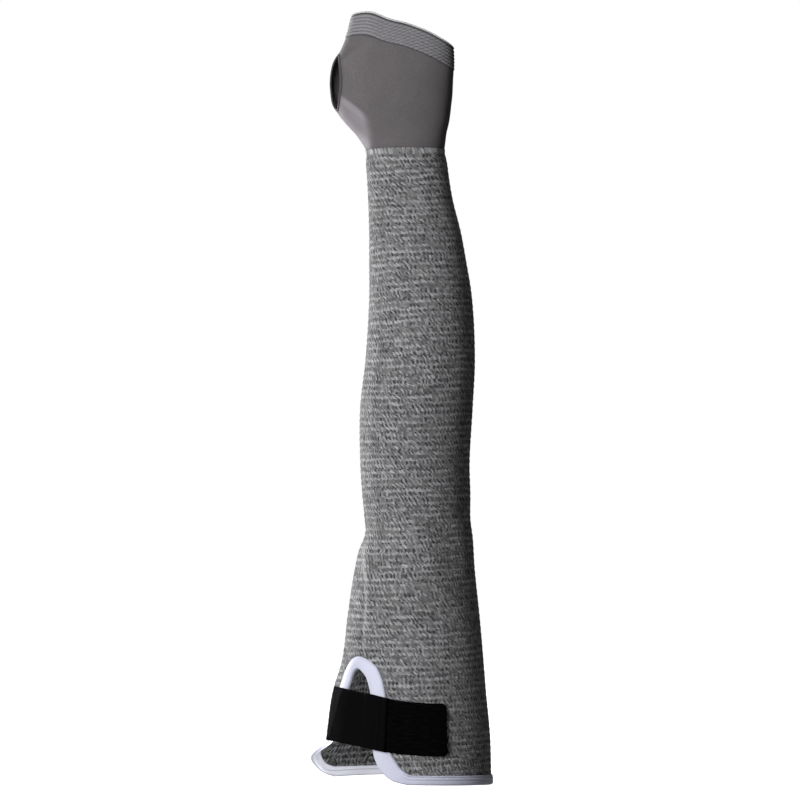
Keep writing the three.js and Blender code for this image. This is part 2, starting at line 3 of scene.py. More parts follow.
import bpy
import numpy as np
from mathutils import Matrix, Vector


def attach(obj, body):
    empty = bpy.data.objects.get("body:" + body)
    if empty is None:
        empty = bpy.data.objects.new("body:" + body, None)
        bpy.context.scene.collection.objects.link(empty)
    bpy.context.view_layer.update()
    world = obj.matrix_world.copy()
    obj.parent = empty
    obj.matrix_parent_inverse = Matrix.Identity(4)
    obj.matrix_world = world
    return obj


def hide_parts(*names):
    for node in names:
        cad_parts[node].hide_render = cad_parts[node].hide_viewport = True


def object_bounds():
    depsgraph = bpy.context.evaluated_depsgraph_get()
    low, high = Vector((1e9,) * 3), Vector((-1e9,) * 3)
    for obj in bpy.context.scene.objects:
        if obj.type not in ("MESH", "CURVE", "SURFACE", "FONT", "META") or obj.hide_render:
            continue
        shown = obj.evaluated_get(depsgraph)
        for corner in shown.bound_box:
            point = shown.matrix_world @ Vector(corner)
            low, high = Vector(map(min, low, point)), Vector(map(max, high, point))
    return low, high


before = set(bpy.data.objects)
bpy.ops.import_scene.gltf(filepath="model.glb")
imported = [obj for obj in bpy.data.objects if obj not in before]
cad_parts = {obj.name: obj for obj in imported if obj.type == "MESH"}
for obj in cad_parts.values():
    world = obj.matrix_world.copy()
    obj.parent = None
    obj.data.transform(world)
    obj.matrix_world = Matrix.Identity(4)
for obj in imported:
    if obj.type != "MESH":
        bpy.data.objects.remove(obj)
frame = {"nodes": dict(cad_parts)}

# Cut resistant sleeve, worn form, hand up. Metres, front towards -Y, thumb towards -X.
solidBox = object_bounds()
print("frame loaded:", ", ".join(frame["nodes"]))

degree = math.pi / 180

# The form of the arm, with the same sizes as the solids
form = {
    "tubeLength": 0.459,
    "handLength": 0.099,
    "foldDepth": 0.003,
    "girths": {  # width and depth of the hollow
        "armHole": (0.117, 0.106),
        "elbow": (0.072, 0.080),
        "forearm": (0.076, 0.080),
        "wrist": (0.054, 0.043),
        "thumbBase": (0.0895, 0.044),
        "knuckles": (0.072, 0.032),
    },
}

# up, girth, wide, deep, aside, back, square: shares as in the solids
tubeSections = [
    (0.0, "armHole", 0.992, 0.99, 0.022, 0.0, 0.0),
    (0.072, "armHole", 0.958, 0.955, 0.031, 0.0, 0.0),
    (0.136, "armHole", 0.897, 0.905, 0.038, 0.004, 0.0),
    (0.186, "armHole", 0.829, 0.86, 0.056, 0.01, 0.0),
    (0.262, "armHole", 0.769, 0.8, 0.06, 0.022, 0.01),
    (0.338, "elbow", 1.124, 1.03, 0.111, 0.045, 0.01),
    (0.388, "elbow", 1.024, 1.0, 0.142, 0.058, 0.01),
    (0.414, "elbow", 0.993, 0.99, 0.136, 0.058, 0.0),
    (0.452, "elbow", 1.012, 1.0, 0.125, 0.05, 0.0),
    (0.502, "forearm", 0.97, 0.99, 0.105, 0.035, 0.0),
    (0.59, "forearm", 1.0, 1.0, 0.119, 0.01, 0.0),
    (0.666, "forearm", 0.97, 0.955, 0.155, -0.01, 0.0),
    (0.767, "forearm", 0.904, 0.86, 0.158, -0.02, 0.0),
    (0.818, "forearm", 0.855, 0.79, 0.133, -0.02, 0.01),
    (0.868, "wrist", 1.125, 1.3, 0.148, -0.03, 0.02),
    (0.919, "wrist", 1.03, 1.14, 0.087, -0.025, 0.03),
    (0.969, "wrist", 0.99, 1.02, 0.041, -0.01, 0.04),
    (1.0, "wrist", 1.0, 1.0, 0.013, 0.0, 0.05),
]
handSections = [
    (0.09, "wrist", 1.135, 1.0, -0.028, 0.0, 0.06),
    (0.208, "thumbBase", 0.833, 0.97, -0.061, 0.0, 0.06),
    (0.325, "thumbBase", 0.944, 1.0, -0.1, 0.0, 0.05),
    (0.4, "thumbBase", 0.982, 1.0, -0.11, 0.0, 0.05),
    (0.5, "thumbBase", 1.0, 0.97, -0.114, 0.0, 0.05),
    (0.618, "thumbBase", 0.972, 0.9, -0.093, 0.0, 0.06),
    (0.735, "knuckles", 1.102, 1.13, -0.066, 0.0, 0.07),
    (0.85, "knuckles", 1.04, 1.05, -0.038, 0.0, 0.07),
    (1.0, "knuckles", 0.98, 1.0, -0.018, 0.0, 0.07),
]

# around, up, span around, span up, lean, lift
folds = [
    (36, 0.36, 20, 0.055, -260, -1.0),
    (14, 0.335, 13, 0.05, -300, 0.35),
    (-50, 0.275, 12, 0.075, 20, 0.5),
    (-82, 0.392, 26, 0.016, 0, -0.45),
    (-74, 0.36, 22, 0.014, 60, 0.25),
    (150, 0.4, 42, 0.018, 40, -0.6),
    (165, 0.44, 38, 0.016, -50, -0.45),
    (-150, 0.3, 20, 0.08, 90, 0.4),
    (-102, 0.03, 26, 0.028, 0, 3.6),
    (-92, 0.13, 20, 0.06, 0, 0.45),
]


def tableCurve(at, values):  # smooth curve through rows, held level past its ends
    at = np.asarray(at, float)
    values = np.asarray(values, float).reshape(len(at), -1)
    last = len(at) - 1

    def read(where):
        where = np.clip(np.asarray(where, float), at[0], at[-1])
        k = np.clip(np.searchsorted(at, where, side="right"), 1, last)
        start, end = at[k - 1], at[k]
        before = np.where(k == 1, k, k - 2)
        after = np.where(k == last, k - 1, np.minimum(k + 1, last))
        half = (end - start) / 2
        pull = half / (start - np.where(k == 1, end, at[before]))
        push = half / (np.where(k == last, start, at[after]) - end)
        p = (where - start) / (end - start)
        square, cube = p**2, p**3
        parts = [
            (before, pull * (-cube + 2 * square - p)),
            (k - 1, (1 + pull) * cube - (1.5 + 2 * pull) * square + (pull - 0.5) * p + 1),
            (k, (-1 - push) * cube + (1.5 + push) * square + 0.5 * p),
            (after, push * (cube - square)),
        ]
        return sum(weight[..., None] * values[row] for row, weight in parts)

    return read


def curveThrough(rows):  # rows of a place and its value
    return tableCurve(*zip(*rows))


def sectionRows():
    for rows, base, length in (
        (tubeSections, 0.0, form["tubeLength"]),
        (handSections, form["tubeLength"], form["handLength"]),
    ):
        for up, girth, wide, deep, aside, back, square in rows:
            width, depth = form["girths"][girth]
            sizes = (aside * width, back * depth, wide * width / 2, deep * depth / 2, square)
            yield base + up * length, sizes


sectionAt = curveThrough(sectionRows())


def smoothStep(value, low, high):
    share = np.clip((value - low) / (high - low), 0, 1)
    return share * share * (3 - 2 * share)


def mix(a, b, share):
    return a + (b - a) * share


def turnBetween(start, end):
    return np.arctan2(np.sin(end - start), np.cos(end - start))


def foldLift(azimuth, z):
    up = z / form["tubeLength"]
    lift = np.zeros(np.broadcast(azimuth, z).shape)
    for around, height, spanAround, spanUp, lean, share in folds:
        above = up - height
        turn = turnBetween((around + lean * above) * degree, azimuth)
        reach = (turn / (spanAround * degree)) ** 2 + (above / spanUp) ** 2
        lift = lift + share * form["foldDepth"] * np.exp(-reach)
    return lift


def armForm(azimuth, z):
    azimuth, z = np.broadcast_arrays(azimuth, z)
    s = sectionAt(z)
    corner = 1 + s[..., 4] * np.sin(2 * azimuth) ** 2
    x = s[..., 0] + s[..., 2] * corner * np.sin(azimuth)
    y = s[..., 1] - s[..., 3] * corner * np.cos(azimuth)
    return np.stack([x, y, z], axis=-1)


def formNormal(azimuth, z):
    step, turn = 0.0005, 0.01
    along = armForm(azimuth, z + step) - armForm(azimuth, z - step)
    around = armForm(azimuth + turn, z) - armForm(azimuth - turn, z)
    normal = np.cross(around, along)
    return normal / np.linalg.norm(normal, axis=-1, keepdims=True)


def clothPoint(azimuth, z, level):
    azimuth, z = np.asarray(azimuth, float), np.asarray(z, float)
    lift = level + foldLift(azimuth, z)
    return armForm(azimuth, z) + formNormal(azimuth, z) * lift[..., None]


def roundScale(azimuth, z):
    turn = 0.02
    gap = armForm(azimuth + turn, z) - armForm(azimuth - turn, z)
    return np.linalg.norm(gap, axis=-1) / (2 * turn)


def girthAt(z):  # length round the cloth at a height
    turns = np.linspace(0, 2 * math.pi, 73)[:-1]
    return np.mean(roundScale(turns[None, :], np.asarray(z, float).reshape(-1, 1)), axis=1) * 2 * math.pi


# Levels above the arm's form
cloth = {
    "tubeWall": 0.0015,
    "handWall": 0.0012,
    "cuffWall": 0.0013,
    "layerGap": 0.0003,
}
handInner = 0.0
handOuter = handInner + cloth["handWall"]
tubeInner = handOuter + cloth["layerGap"]
tubeOuter = tubeInner + cloth["tubeWall"]
cuffOuter = handInner + cloth["cuffWall"]


# Meshes

def placeObject(name, data):
    placed = bpy.data.objects.new(name, data)
    bpy.context.scene.collection.objects.link(placed)
    return placed


def meshObject(name, points, faces, counts, material):
    mesh = bpy.data.meshes.new(name)
    mesh.from_pydata(np.asarray(points).reshape(-1, 3).tolist(), [], np.asarray(faces).tolist())
    layer = mesh.uv_layers.new(name="KnitCount")
    layer.data.foreach_set("uv", np.asarray(counts, dtype=np.float32).ravel())
    mesh.polygons.foreach_set("use_smooth", [True] * len(mesh.polygons))
    mesh.update()
    mesh.materials.append(material)
    return placeObject(name, mesh)


def writeShare(piece, name, values):  # a number on each point, which the material reads
    layer = piece.data.attributes.new(name, "FLOAT", "POINT")
    layer.data.foreach_set("value", np.asarray(values, dtype=np.float32).ravel())


def gridFaces(rows, columns, start=0, flip=False, keep=None):
    # four corners of each cell, as (row, column) with the last column running past the seam
    j, i = np.meshgrid(np.arange(rows - 1), np.arange(columns), indexing="ij")
    if keep is not None:
        mask = keep(j, i)
        j, i = j[mask], i[mask]
    j, i = j.ravel(), i.ravel()
    corners = np.stack([(j, i), (j, i + 1), (j + 1, i + 1), (j + 1, i)], axis=1)
    corners = corners.transpose(2, 1, 0)
    if flip:
        corners = corners[:, ::-1]
    faces = start + corners[..., 0] * columns + corners[..., 1] % columns
    return faces, corners


def cornerCounts(counts, corners, seamCount):
    # stitch counts of each face corner; past the seam the count goes on growing
    columns = counts.shape[1]
    found = counts[corners[..., 0], corners[..., 1] % columns].copy()
    found[..., 0] += np.where(corners[..., 1] >= columns, seamCount[corners[..., 0]], 0)
    return found


def closedBand(name, sections, counts, aroundCount, material):
    # one closed section carried round a closed edge; counts are (round, across) for each point
    rounds, size = sections.shape[:2]
    i, k = np.meshgrid(np.arange(rounds), np.arange(size), indexing="ij")
    i, k = i.ravel(), k.ravel()
    corners = [(i, k), (i, k + 1), (i + 1, k + 1), (i + 1, k)]
    faces = np.stack([(a % rounds) * size + b % size for a, b in corners], axis=1)
    flat = []
    for a, b in corners:
        count = counts[a % rounds, b % size].copy()
        count[:, 0] += np.where(a >= rounds, aroundCount, 0)
        flat.append(count)
    return meshObject(name, sections, faces, np.stack(flat, axis=1), material)


# Shader nodes

def calc(tree, operation, *terms):
    node = tree.nodes.new("ShaderNodeMath")
    node.operation = operation
    for socket, term in zip(node.inputs, terms):
        setInput(tree, socket, term)
    return node.outputs[0]


def add(tree, first, second):
    return calc(tree, "ADD", first, second)


def less(tree, first, second):
    return calc(tree, "SUBTRACT", first, second)


def times(tree, first, second):
    return calc(tree, "MULTIPLY", first, second)


def waveOf(tree, operation, turns):  # sine or cosine of full turns
    return calc(tree, operation, times(tree, turns, 2 * math.pi))


def falloff(tree, value, power):  # 1 in the middle of a loop, 0 at its sides
    return less(tree, 1.0, calc(tree, "POWER", calc(tree, "ABSOLUTE", times(tree, value, 2.0)), power))


def setInput(tree, socket, value):
    if isinstance(value, bpy.types.NodeSocket):
        tree.links.new(value, socket)
    else:
        socket.default_value = value


def addNode(tree, kind, inputs=None, **settings):
    node = tree.nodes.new(kind)
    for key, value in settings.items():
        setattr(node, key, value)
    for key, value in (inputs or {}).items():
        setInput(tree, node.inputs[key], value)
    return node


def mixColor(tree, share, first, second, blend="MIX"):
    node = addNode(tree, "ShaderNodeMix", data_type="RGBA", blend_type=blend)
    for socket, value in ((0, share), (6, first), (7, second)):
        setInput(tree, node.inputs[socket], value)
    return node.outputs[2]


def shaded(tree, color, value):  # a colour made darker or lighter by a value
    tint = addNode(tree, "ShaderNodeCombineColor", {"Red": value, "Green": value, "Blue": value})
    return mixColor(tree, 1.0, color, tint.outputs["Color"], "MULTIPLY")


def noiseAt(tree, place, detail, scale=1.0, output="Fac"):
    noise = addNode(tree, "ShaderNodeTexNoise", {"Vector": place, "Scale": scale, "Detail": detail})
    return noise.outputs[output]


def stretchedBy(tree, place, scale):
    return addNode(tree, "ShaderNodeMapping", {"Vector": place, "Scale": scale}).outputs["Vector"]


def pointShare(tree, name):  # a number that a piece has on each of its points
    return addNode(tree, "ShaderNodeAttribute", attribute_name=name).outputs["Fac"]


def remap(tree, value, low, high, toLow=0.0, toHigh=1.0):
    node = addNode(tree, "ShaderNodeMapRange", interpolation_type="SMOOTHSTEP")
    for socket, term in zip(node.inputs, (value, low, high, toLow, toHigh)):
        setInput(tree, socket, term)
    return node.outputs[0]


def newGroup(name, inputs, outputs):
    group = bpy.data.node_groups.new(name, "ShaderNodeTree")
    for label, kind, value in inputs:
        socket = group.interface.new_socket(name=label, in_out="INPUT", socket_type="NodeSocket" + kind)
        if value is not None:
            socket.default_value = value
    for label, kind in outputs:
        group.interface.new_socket(name=label, in_out="OUTPUT", socket_type="NodeSocket" + kind)
    return group, group.nodes.new("NodeGroupInput"), group.nodes.new("NodeGroupOutput")


def knitLoopsGroup():
    # Rows of V stitches. Counts are stitches round and courses up. Drift is how far a wale moves
    # round with each course, and Shuffle how far each Span of courses is moved by chance. Height
    # is the relief of the loops, Tone a steady random number for each leg of a loop, Ply the twist
    # of its yarn, and Leg and Course are 1 on every second leg and on every second course. Lean is
    # the slant of a leg, and Twist how far its yarn turns along it.
    group, given, result = newGroup(
        "KnitLoops",
        [
            ("Counts", "Vector", None),
            ("Lean", "Float", 0.8),
            ("Drift", "Float", 0.0),
            ("Shuffle", "Float", 0.0),
            ("Span", "Float", 2.0),
            ("Twist", "Float", 1.5),
        ],
        [("Height", "Float"), ("Tone", "Float"), ("Ply", "Float"), ("Leg", "Float"), ("Course", "Float")],
    )
    parts = addNode(group, "ShaderNodeSeparateXYZ", {"Vector": given.outputs["Counts"]})
    band = calc(group, "FLOOR", calc(group, "DIVIDE", parts.outputs["Y"], given.outputs["Span"]))
    above = less(group, parts.outputs["Y"], times(group, band, given.outputs["Span"]))
    drift = times(group, above, given.outputs["Drift"])
    shift = addNode(group, "ShaderNodeTexWhiteNoise", {"W": band}, noise_dimensions="1D").outputs["Value"]
    drift = add(group, drift, times(group, shift, given.outputs["Shuffle"]))
    legs = times(group, add(group, parts.outputs["X"], drift), 2.0)
    leg = calc(group, "FLOOR", legs)
    across = less(group, calc(group, "FRACT", legs), 0.5)
    odd = calc(group, "FLOORED_MODULO", leg, 2.0)
    side = less(group, times(group, odd, 2.0), 1.0)
    slant = times(group, times(group, across, side), given.outputs["Lean"])
    course = add(group, parts.outputs["Y"], slant)
    row = calc(group, "FLOOR", course)
    along = less(group, calc(group, "FRACT", course), 0.5)
    roundness = falloff(group, across, 2.0)
    length = falloff(group, along, 3.0)
    height = calc(group, "SQRT", calc(group, "MAXIMUM", times(group, roundness, length), 0.0))
    place = addNode(group, "ShaderNodeCombineXYZ", {"X": leg, "Y": row})
    noise = addNode(group, "ShaderNodeTexWhiteNoise", {"Vector": place.outputs[0]}, noise_dimensions="2D")
    turns = add(group, times(group, across, 2.2), times(group, along, given.outputs["Twist"]))
    turns = add(group, turns, noise.outputs["Value"])
    ply = add(group, times(group, waveOf(group, "SINE", turns), 0.5), 0.5)
    outputs = {
        "Height": height,
        "Tone": noise.outputs["Value"],
        "Ply": ply,
        "Leg": odd,
        "Course": calc(group, "FLOORED_MODULO", row, 2.0),
    }
    for label, value in outputs.items():
        group.links.new(value, result.inputs[label])
    return group


def yarnDustGroup():
    # Uneven yarn: slow blotches and fine fibre, as one value about 1
    group, given, result = newGroup(
        "YarnDust",
        [("Blotch Size", "Float", 0.02), ("Fibre Size", "Float", 0.0005), ("Amount", "Float", 0.2)],
        [("Value", "Float")],
    )
    place = addNode(group, "ShaderNodeTexCoord")
    total = 1.0
    for label, weight in (("Blotch Size", 1.0), ("Fibre Size", 1.6)):
        scale = calc(group, "DIVIDE", 1.0, given.outputs[label])
        noise = noiseAt(group, place.outputs["Object"], 2.0, scale)
        swing = times(group, less(group, noise, 0.5), given.outputs["Amount"])
        total = add(group, times(group, swing, 2 * weight), total)
    group.links.new(total, result.inputs["Value"])
    return group


knitLoops = knitLoopsGroup()
yarnDust = yarnDustGroup()


def useGroup(tree, group, inputs):
    node = tree.nodes.new("ShaderNodeGroup")
    node.node_tree = group
    for key, value in inputs.items():
        setInput(tree, node.inputs[key], value)
    return node


def dustValue(tree, blotchSize, fibreSize, amount):
    sizes = {"Blotch Size": blotchSize, "Fibre Size": fibreSize, "Amount": amount}
    return useGroup(tree, yarnDust, sizes).outputs["Value"]


def newMaterial(name, roughness, specular):
    material = bpy.data.materials.new(name)
    material.use_nodes = True
    tree = material.node_tree
    shader = tree.nodes["Principled BSDF"]
    shader.inputs["Roughness"].default_value = roughness
    shader.inputs["Specular IOR Level"].default_value = specular
    return material, tree, shader


def countsNode(tree, roundBy=1.0, upBy=1.0):
    place = addNode(tree, "ShaderNodeUVMap", uv_map="KnitCount")
    return stretchedBy(tree, place.outputs["UV"], (roundBy, upBy, 1.0))


def dress(tree, shader, color, height, relief):
    bump = addNode(tree, "ShaderNodeBump", {"Height": height, "Strength": 1.0, "Distance": relief})
    tree.links.new(color, shader.inputs["Base Color"])
    tree.links.new(bump.outputs["Normal"], shader.inputs["Normal"])


marled = {
    "stitchWidth": 0.00285,
    "courseHeight": 0.00226,
    "dark": (0.040, 0.040, 0.042, 1),
    "middle": (0.168, 0.168, 0.171, 1),
    "light": (0.40, 0.40, 0.412, 1),
    "random": 0.48,  # how much each leg of a loop differs from the next
    "paintedLegLight": 0.21,  # every second leg is lighter: painted light, the legs that face the key drawn lighter
    "courseStripeAndHighlight": 0.19,  # every second course is lighter: the marl's stripe and a painted highlight on the course ridges
    "lean": 0.45,
    "drift": 0.40,  # stitches round for each course
    "shuffle": 7.0,  # stitches by which a few courses are moved round by chance
    "span": 1.5,  # courses moved together
    "twist": 1.2,
    "wobble": (2.0, 1.3),  # how far loops are pulled out of line, round and up
    "wobbleScale": (0.3, 0.34, 1.0),  # how fast that changes from stitch to stitch
    "streakScale": (0.14, 0.5, 1.0),  # the same for the streaks of lighter courses
    "ply": 0.12,  # how much the yarn's twist shows in its colour
    "plyRelief": 0.18,
    "relief": 0.0006,
    "ridge": 0.00018,
    "coursesPerRidge": 2,
    "droop": 0.0014,  # the courses hang lower on the thumb side
    "inside": 0.62,  # how light the yarns show on the wrong side, against the right side; set below 1 as painted shade for the sleeve's hollow
    "insideContrast": 1.7,
    "crease": 0.45,  # how much lighter the crease is drawn: a painted highlight along its ridge
}


def marledKnit():
    # grey and black yarn: each loop has its own share of light yarn, and every second course shows a lighter
    # broken line, partly a painted highlight on the course ridges. The lighter legs, the darker gaps between
    # loops, the lighter front crease and the darker inner face are painted light and shade
    material, tree, shader = newMaterial("marled_knit", 0.9, 0.15)
    counts = countsNode(tree)
    noise = noiseAt(tree, stretchedBy(tree, counts, marled["wobbleScale"]), 2.0, output="Color")
    centred = addNode(tree, "ShaderNodeVectorMath", {0: noise, 1: (0.5, 0.5, 0.5)}, operation="SUBTRACT")
    pull = {0: centred.outputs[0], 1: (*marled["wobble"], 0.0), 2: counts}
    pulled = addNode(tree, "ShaderNodeVectorMath", pull, operation="MULTIPLY_ADD")
    settings = {label: marled[label.lower()] for label in ("Lean", "Drift", "Shuffle", "Span", "Twist")}
    loops = useGroup(tree, knitLoops, {"Counts": pulled.outputs[0], **settings})
    streaks = noiseAt(tree, stretchedBy(tree, counts, marled["streakScale"]), 1.0)
    course = times(tree, loops.outputs["Course"], remap(tree, streaks, 0.3, 0.62, 0.45, 1.5))
    terms = (
        (loops.outputs["Tone"], marled["random"]),
        (loops.outputs["Leg"], marled["paintedLegLight"]),
        (course, marled["courseStripeAndHighlight"]),
        (loops.outputs["Ply"], marled["ply"]),
    )
    share = 0.5
    for term, weight in terms:
        share = add(tree, times(tree, less(tree, term, 0.5), weight), share)
    inside = pointShare(tree, "Inside")
    contrast = add(tree, times(tree, inside, marled["insideContrast"] - 1), 1.0)
    share = add(tree, times(tree, less(tree, share, 0.5), contrast), 0.5)
    share = add(tree, share, times(tree, pointShare(tree, "CreaseHighlight"), marled["crease"]))
    ramp = addNode(tree, "ShaderNodeValToRGB", {"Fac": share})
    ramp.color_ramp.elements[0].position = 0.1
    ramp.color_ramp.elements[0].color = marled["dark"]
    ramp.color_ramp.elements[1].position = 0.95
    ramp.color_ramp.elements[1].color = marled["light"]
    ramp.color_ramp.elements.new(0.5).color = marled["middle"]
    # painted shade: the knit is drawn darker in the gaps between loops
    gaps = remap(tree, loops.outputs["Height"], 0.0, 0.6, 0.55, 1.08)
    value = times(tree, gaps, dustValue(tree, 0.004, 0.0004, 0.12))
    # painted shade: the inner face of the sleeve is drawn darker
    value = times(tree, value, add(tree, times(tree, inside, marled["inside"] - 1), 1.0))
    height = add(tree, loops.outputs["Height"], times(tree, loops.outputs["Ply"], marled["plyRelief"]))
    dress(tree, shader, shaded(tree, ramp.outputs["Color"], value), height, marled["relief"])
    return material


plain = {
    "stitchWidth": 0.0011,
    "courseHeight": 0.0009,
    "color": (0.134, 0.125, 0.130, 1),
    "shade": (0.081, 0.074, 0.079, 1),
    # painted light: the knit on the thumb-base facet is drawn lighter
    "facetPaintedLight": (0.248, 0.232, 0.249, 1),
    "relief": 0.00018,
}


def plainKnit(name, shade):
    material, tree, shader = newMaterial(name, 0.82, 0.2)
    loops = useGroup(tree, knitLoops, {"Counts": countsNode(tree), "Lean": 0.8, "Twist": 1.0})
    share = add(tree, times(tree, loops.outputs["Height"], 0.7), times(tree, loops.outputs["Tone"], 0.3))
    color = [shade * part for part in plain["color"][:3]] + [1]
    dark = [shade * part for part in plain["shade"][:3]] + [1]
    base = mixColor(tree, share, dark, color)
    base = mixColor(tree, pointShare(tree, "PaintedFacetLight"), base, plain["facetPaintedLight"])
    dust = dustValue(tree, 0.012, 0.0004, 0.1)
    dress(tree, shader, shaded(tree, base, dust), loops.outputs["Height"], plain["relief"])
    return material


ribbed = {
    "stitchWidth": 0.0013,
    "light": (0.225, 0.22, 0.235, 1),
    "dark": (0.135, 0.13, 0.138, 1),
    # painted shadow under the rolled lip, then a painted highlight on the lip
    "line": (0.045, 0.045, 0.048, 1),
    "lip": (0.5, 0.5, 0.5, 1),
    "hatch": 0.6,
    "relief": 0.0002,
}


def ribbedKnit():
    # the second count is ribs: its whole numbers lie on the crests
    material, tree, shader = newMaterial("ribbed_knit", 0.8, 0.2)
    parts = addNode(tree, "ShaderNodeSeparateXYZ", {"Vector": countsNode(tree)})
    rib = parts.outputs["Y"]
    loops = useGroup(tree, knitLoops, {"Counts": countsNode(tree, 1.0, 2.0), "Lean": 0.7, "Twist": 1.0})
    hatch = waveOf(tree, "COSINE", add(tree, times(tree, parts.outputs["X"], 0.5), rib))
    where = pointShare(tree, "Hatch")
    crest = times(tree, waveOf(tree, "COSINE", rib), less(tree, 1.0, times(tree, where, 0.7)))
    crest = add(tree, crest, times(tree, hatch, times(tree, where, ribbed["hatch"])))
    share = add(tree, remap(tree, crest, -0.9, 0.9), times(tree, loops.outputs["Tone"], 0.4))
    base = mixColor(tree, less(tree, share, 0.2), ribbed["dark"], ribbed["light"])
    # a painted shadow line under the lip and a painted highlight on the lip itself
    fromShadeLine = calc(tree, "ABSOLUTE", less(tree, rib, 0.25))
    base = mixColor(tree, remap(tree, fromShadeLine, 0.12, 0.3, 1.0, 0.0), base, ribbed["line"])
    base = mixColor(tree, remap(tree, rib, 0.01, 0.06, 1.0, 0.0), base, ribbed["lip"])
    dust = dustValue(tree, 0.01, 0.0004, 0.12)
    dress(tree, shader, shaded(tree, base, dust), loops.outputs["Height"], ribbed["relief"])
    return material


binding = {
    "width": 0.010,
    "hemBand": 0.58,
    "thickness": 0.0009,
    "ribPitch": 0.0006,
    "threads": (0.0005, 0.004),  # size of the tape's unevenness, along and across
    "relief": 0.00006,
    "puff": 0.0005,  # how far the outer side swells
    "groove": 0.0006,  # depth of the sewn grooves at the hem
    "grooves": ((0.0013, 0.0004, 1.0), (0.0036, 0.0005, 0.55)),  # as the lines below
    "hemBands": (0.0062, 0.0078),  # a band as narrow as the first lies at the hem
    "turnedFrom": (19, 26),  # points of the section where the inner flange, drawn lighter as painted light, begins
    # painted shade lines in the hem's grooves: from the band's inner edge, half width, depth
    "lines": ((0.0017, 0.00045, 0.6), (0.0043, 0.00035, 0.3), (0.0153, 0.00045, 0.4)),
    "lineColor": (0.16, 0.16, 0.22, 1),
    "turned": (0.80, 0.81, 0.90, 1),  # the flange inside the sleeve, drawn lighter than the same tape outside: painted light
    "color": (0.54, 0.55, 0.66, 1),
    "shade": (0.443, 0.453, 0.553, 1),
}


def whiteBinding():
    # smooth folded tape with very fine ribs along it; counts are metres along and across
    material, tree, shader = newMaterial("white_binding", 0.55, 0.3)
    parts = addNode(tree, "ShaderNodeSeparateXYZ", {"Vector": countsNode(tree, 0.0, 1 / binding["ribPitch"])})
    ribs = times(tree, waveOf(tree, "SINE", parts.outputs["Y"]), 0.5)
    long, wide = binding["threads"]
    noise = noiseAt(tree, countsNode(tree, 1 / long, 1 / wide), 2.0)
    share = add(tree, times(tree, ribs, 0.5), add(tree, noise, 0.1))
    base = mixColor(tree, share, binding["shade"], binding["color"])
    base = mixColor(tree, pointShare(tree, "PaintedLightFlange"), base, binding["turned"])
    across = addNode(tree, "ShaderNodeSeparateXYZ", {"Vector": countsNode(tree)}).outputs["Y"]
    atHem = pointShare(tree, "Hem")
    # painted shade: dark lines along the hem's sewn grooves
    for middle, half, depth in binding["lines"]:
        gap = calc(tree, "ABSOLUTE", less(tree, across, middle))
        line = remap(tree, gap, half * 0.4, half * 1.3, depth, 0.0)
        base = mixColor(tree, times(tree, line, atHem), base, binding["lineColor"])
    color = shaded(tree, base, dustValue(tree, 0.015, 0.0006, 0.06))
    dress(tree, shader, color, add(tree, ribs, noise), binding["relief"])
    return material


strap = {
    "width": 0.038,
    "rise": 0.043,
    "drop": 0.020,
    "webbingLength": 0.052,
    "webbingThickness": 0.0014,
    "webbingStart": -72.5,
    "tabLength": 0.048,
    "tabThickness": 0.0016,
    "lap": 0.0085,
    "climb": 0.011,
    "tautness": 0.5,
    "seat": 0.00045,
    "ease": 0.0009,
    "bindingClear": 1.25,
    "webbingCorner": 0.00001,
    "webbingEdge": 0.0008,  # how far from its edges the band thins
    "tabCorner": 0.004,
    "tabEdge": 0.0012,
    "ragged": 0.0005,  # how far the tab's cut edges wander
    "black": (0.0010, 0.0010, 0.0012, 1),
    "grey": (0.0036, 0.0036, 0.0040, 1),
    "cord": (0.0009, 0.0007),  # one cord of the weave, along and up
    "weaveRelief": 0.00016,
    "tabBlack": (0.0008, 0.0008, 0.0009, 1),
    "tabGrey": (0.0042, 0.0042, 0.0046, 1),
    "streak": (0.006, 0.0012),  # the tab's brushed streaks, along and up
    "loop": (0.0005, 0.0004),  # and its single loops
    "loopRelief": 0.0004,
}


def blackWebbing():
    # flat woven band: fine twill cords, counts are metres along and up
    material, tree, shader = newMaterial("black_webbing", 0.95, 0.03)
    long, high = strap["cord"]
    parts = addNode(tree, "ShaderNodeSeparateXYZ", {"Vector": countsNode(tree, 1 / long, 1 / high)})
    twill = waveOf(tree, "SINE", add(tree, parts.outputs["X"], times(tree, parts.outputs["Y"], 0.5)))
    cords = waveOf(tree, "SINE", parts.outputs["Y"])
    height = add(tree, times(tree, twill, 0.5), times(tree, cords, 0.5))
    share = add(tree, times(tree, height, 0.35), 0.5)
    dress(tree, shader, mixColor(tree, share, strap["black"], strap["grey"]), height, strap["weaveRelief"])
    return material


def blackLoopTape():
    # brushed loops that lie in faint streaks along the tape
    material, tree, shader = newMaterial("black_loop_tape", 1.0, 0.02)
    streaks = noiseAt(tree, countsNode(tree, *(1 / size for size in strap["streak"])), 3.0)
    loops = noiseAt(tree, countsNode(tree, *(1 / size for size in strap["loop"])), 2.0)
    share = times(tree, remap(tree, streaks, 0.35, 0.75), remap(tree, loops, 0.3, 0.7, 0.3, 1.0))
    color = mixColor(tree, share, strap["tabBlack"], strap["tabGrey"])
    dress(tree, shader, color, add(tree, loops, times(tree, streaks, 0.8)), strap["loopRelief"])
    return material


marledMaterial = marledKnit()
plainMaterial = plainKnit("plain_knit", 1.0)
# a darker copy of the plain knit for the welt round the thumb hole: painted shade at the hole's edge
weltShadedMaterial = plainKnit("plain_knit_painted_shade", 0.55)
ribbedMaterial = ribbedKnit()
bindingMaterial = whiteBinding()
webbingMaterial = blackWebbing()
loopTapeMaterial = blackLoopTape()
print("materials made")


# Edge of the slit and the hem

slit = {
    "height": 0.0835,
    "mouth": 96,
    "azimuth": -47,
    "hemDroop": 0.003,
    "sideSamples": 52,
    "hemSamples": 80,
    "inwardSpan": 3,
}
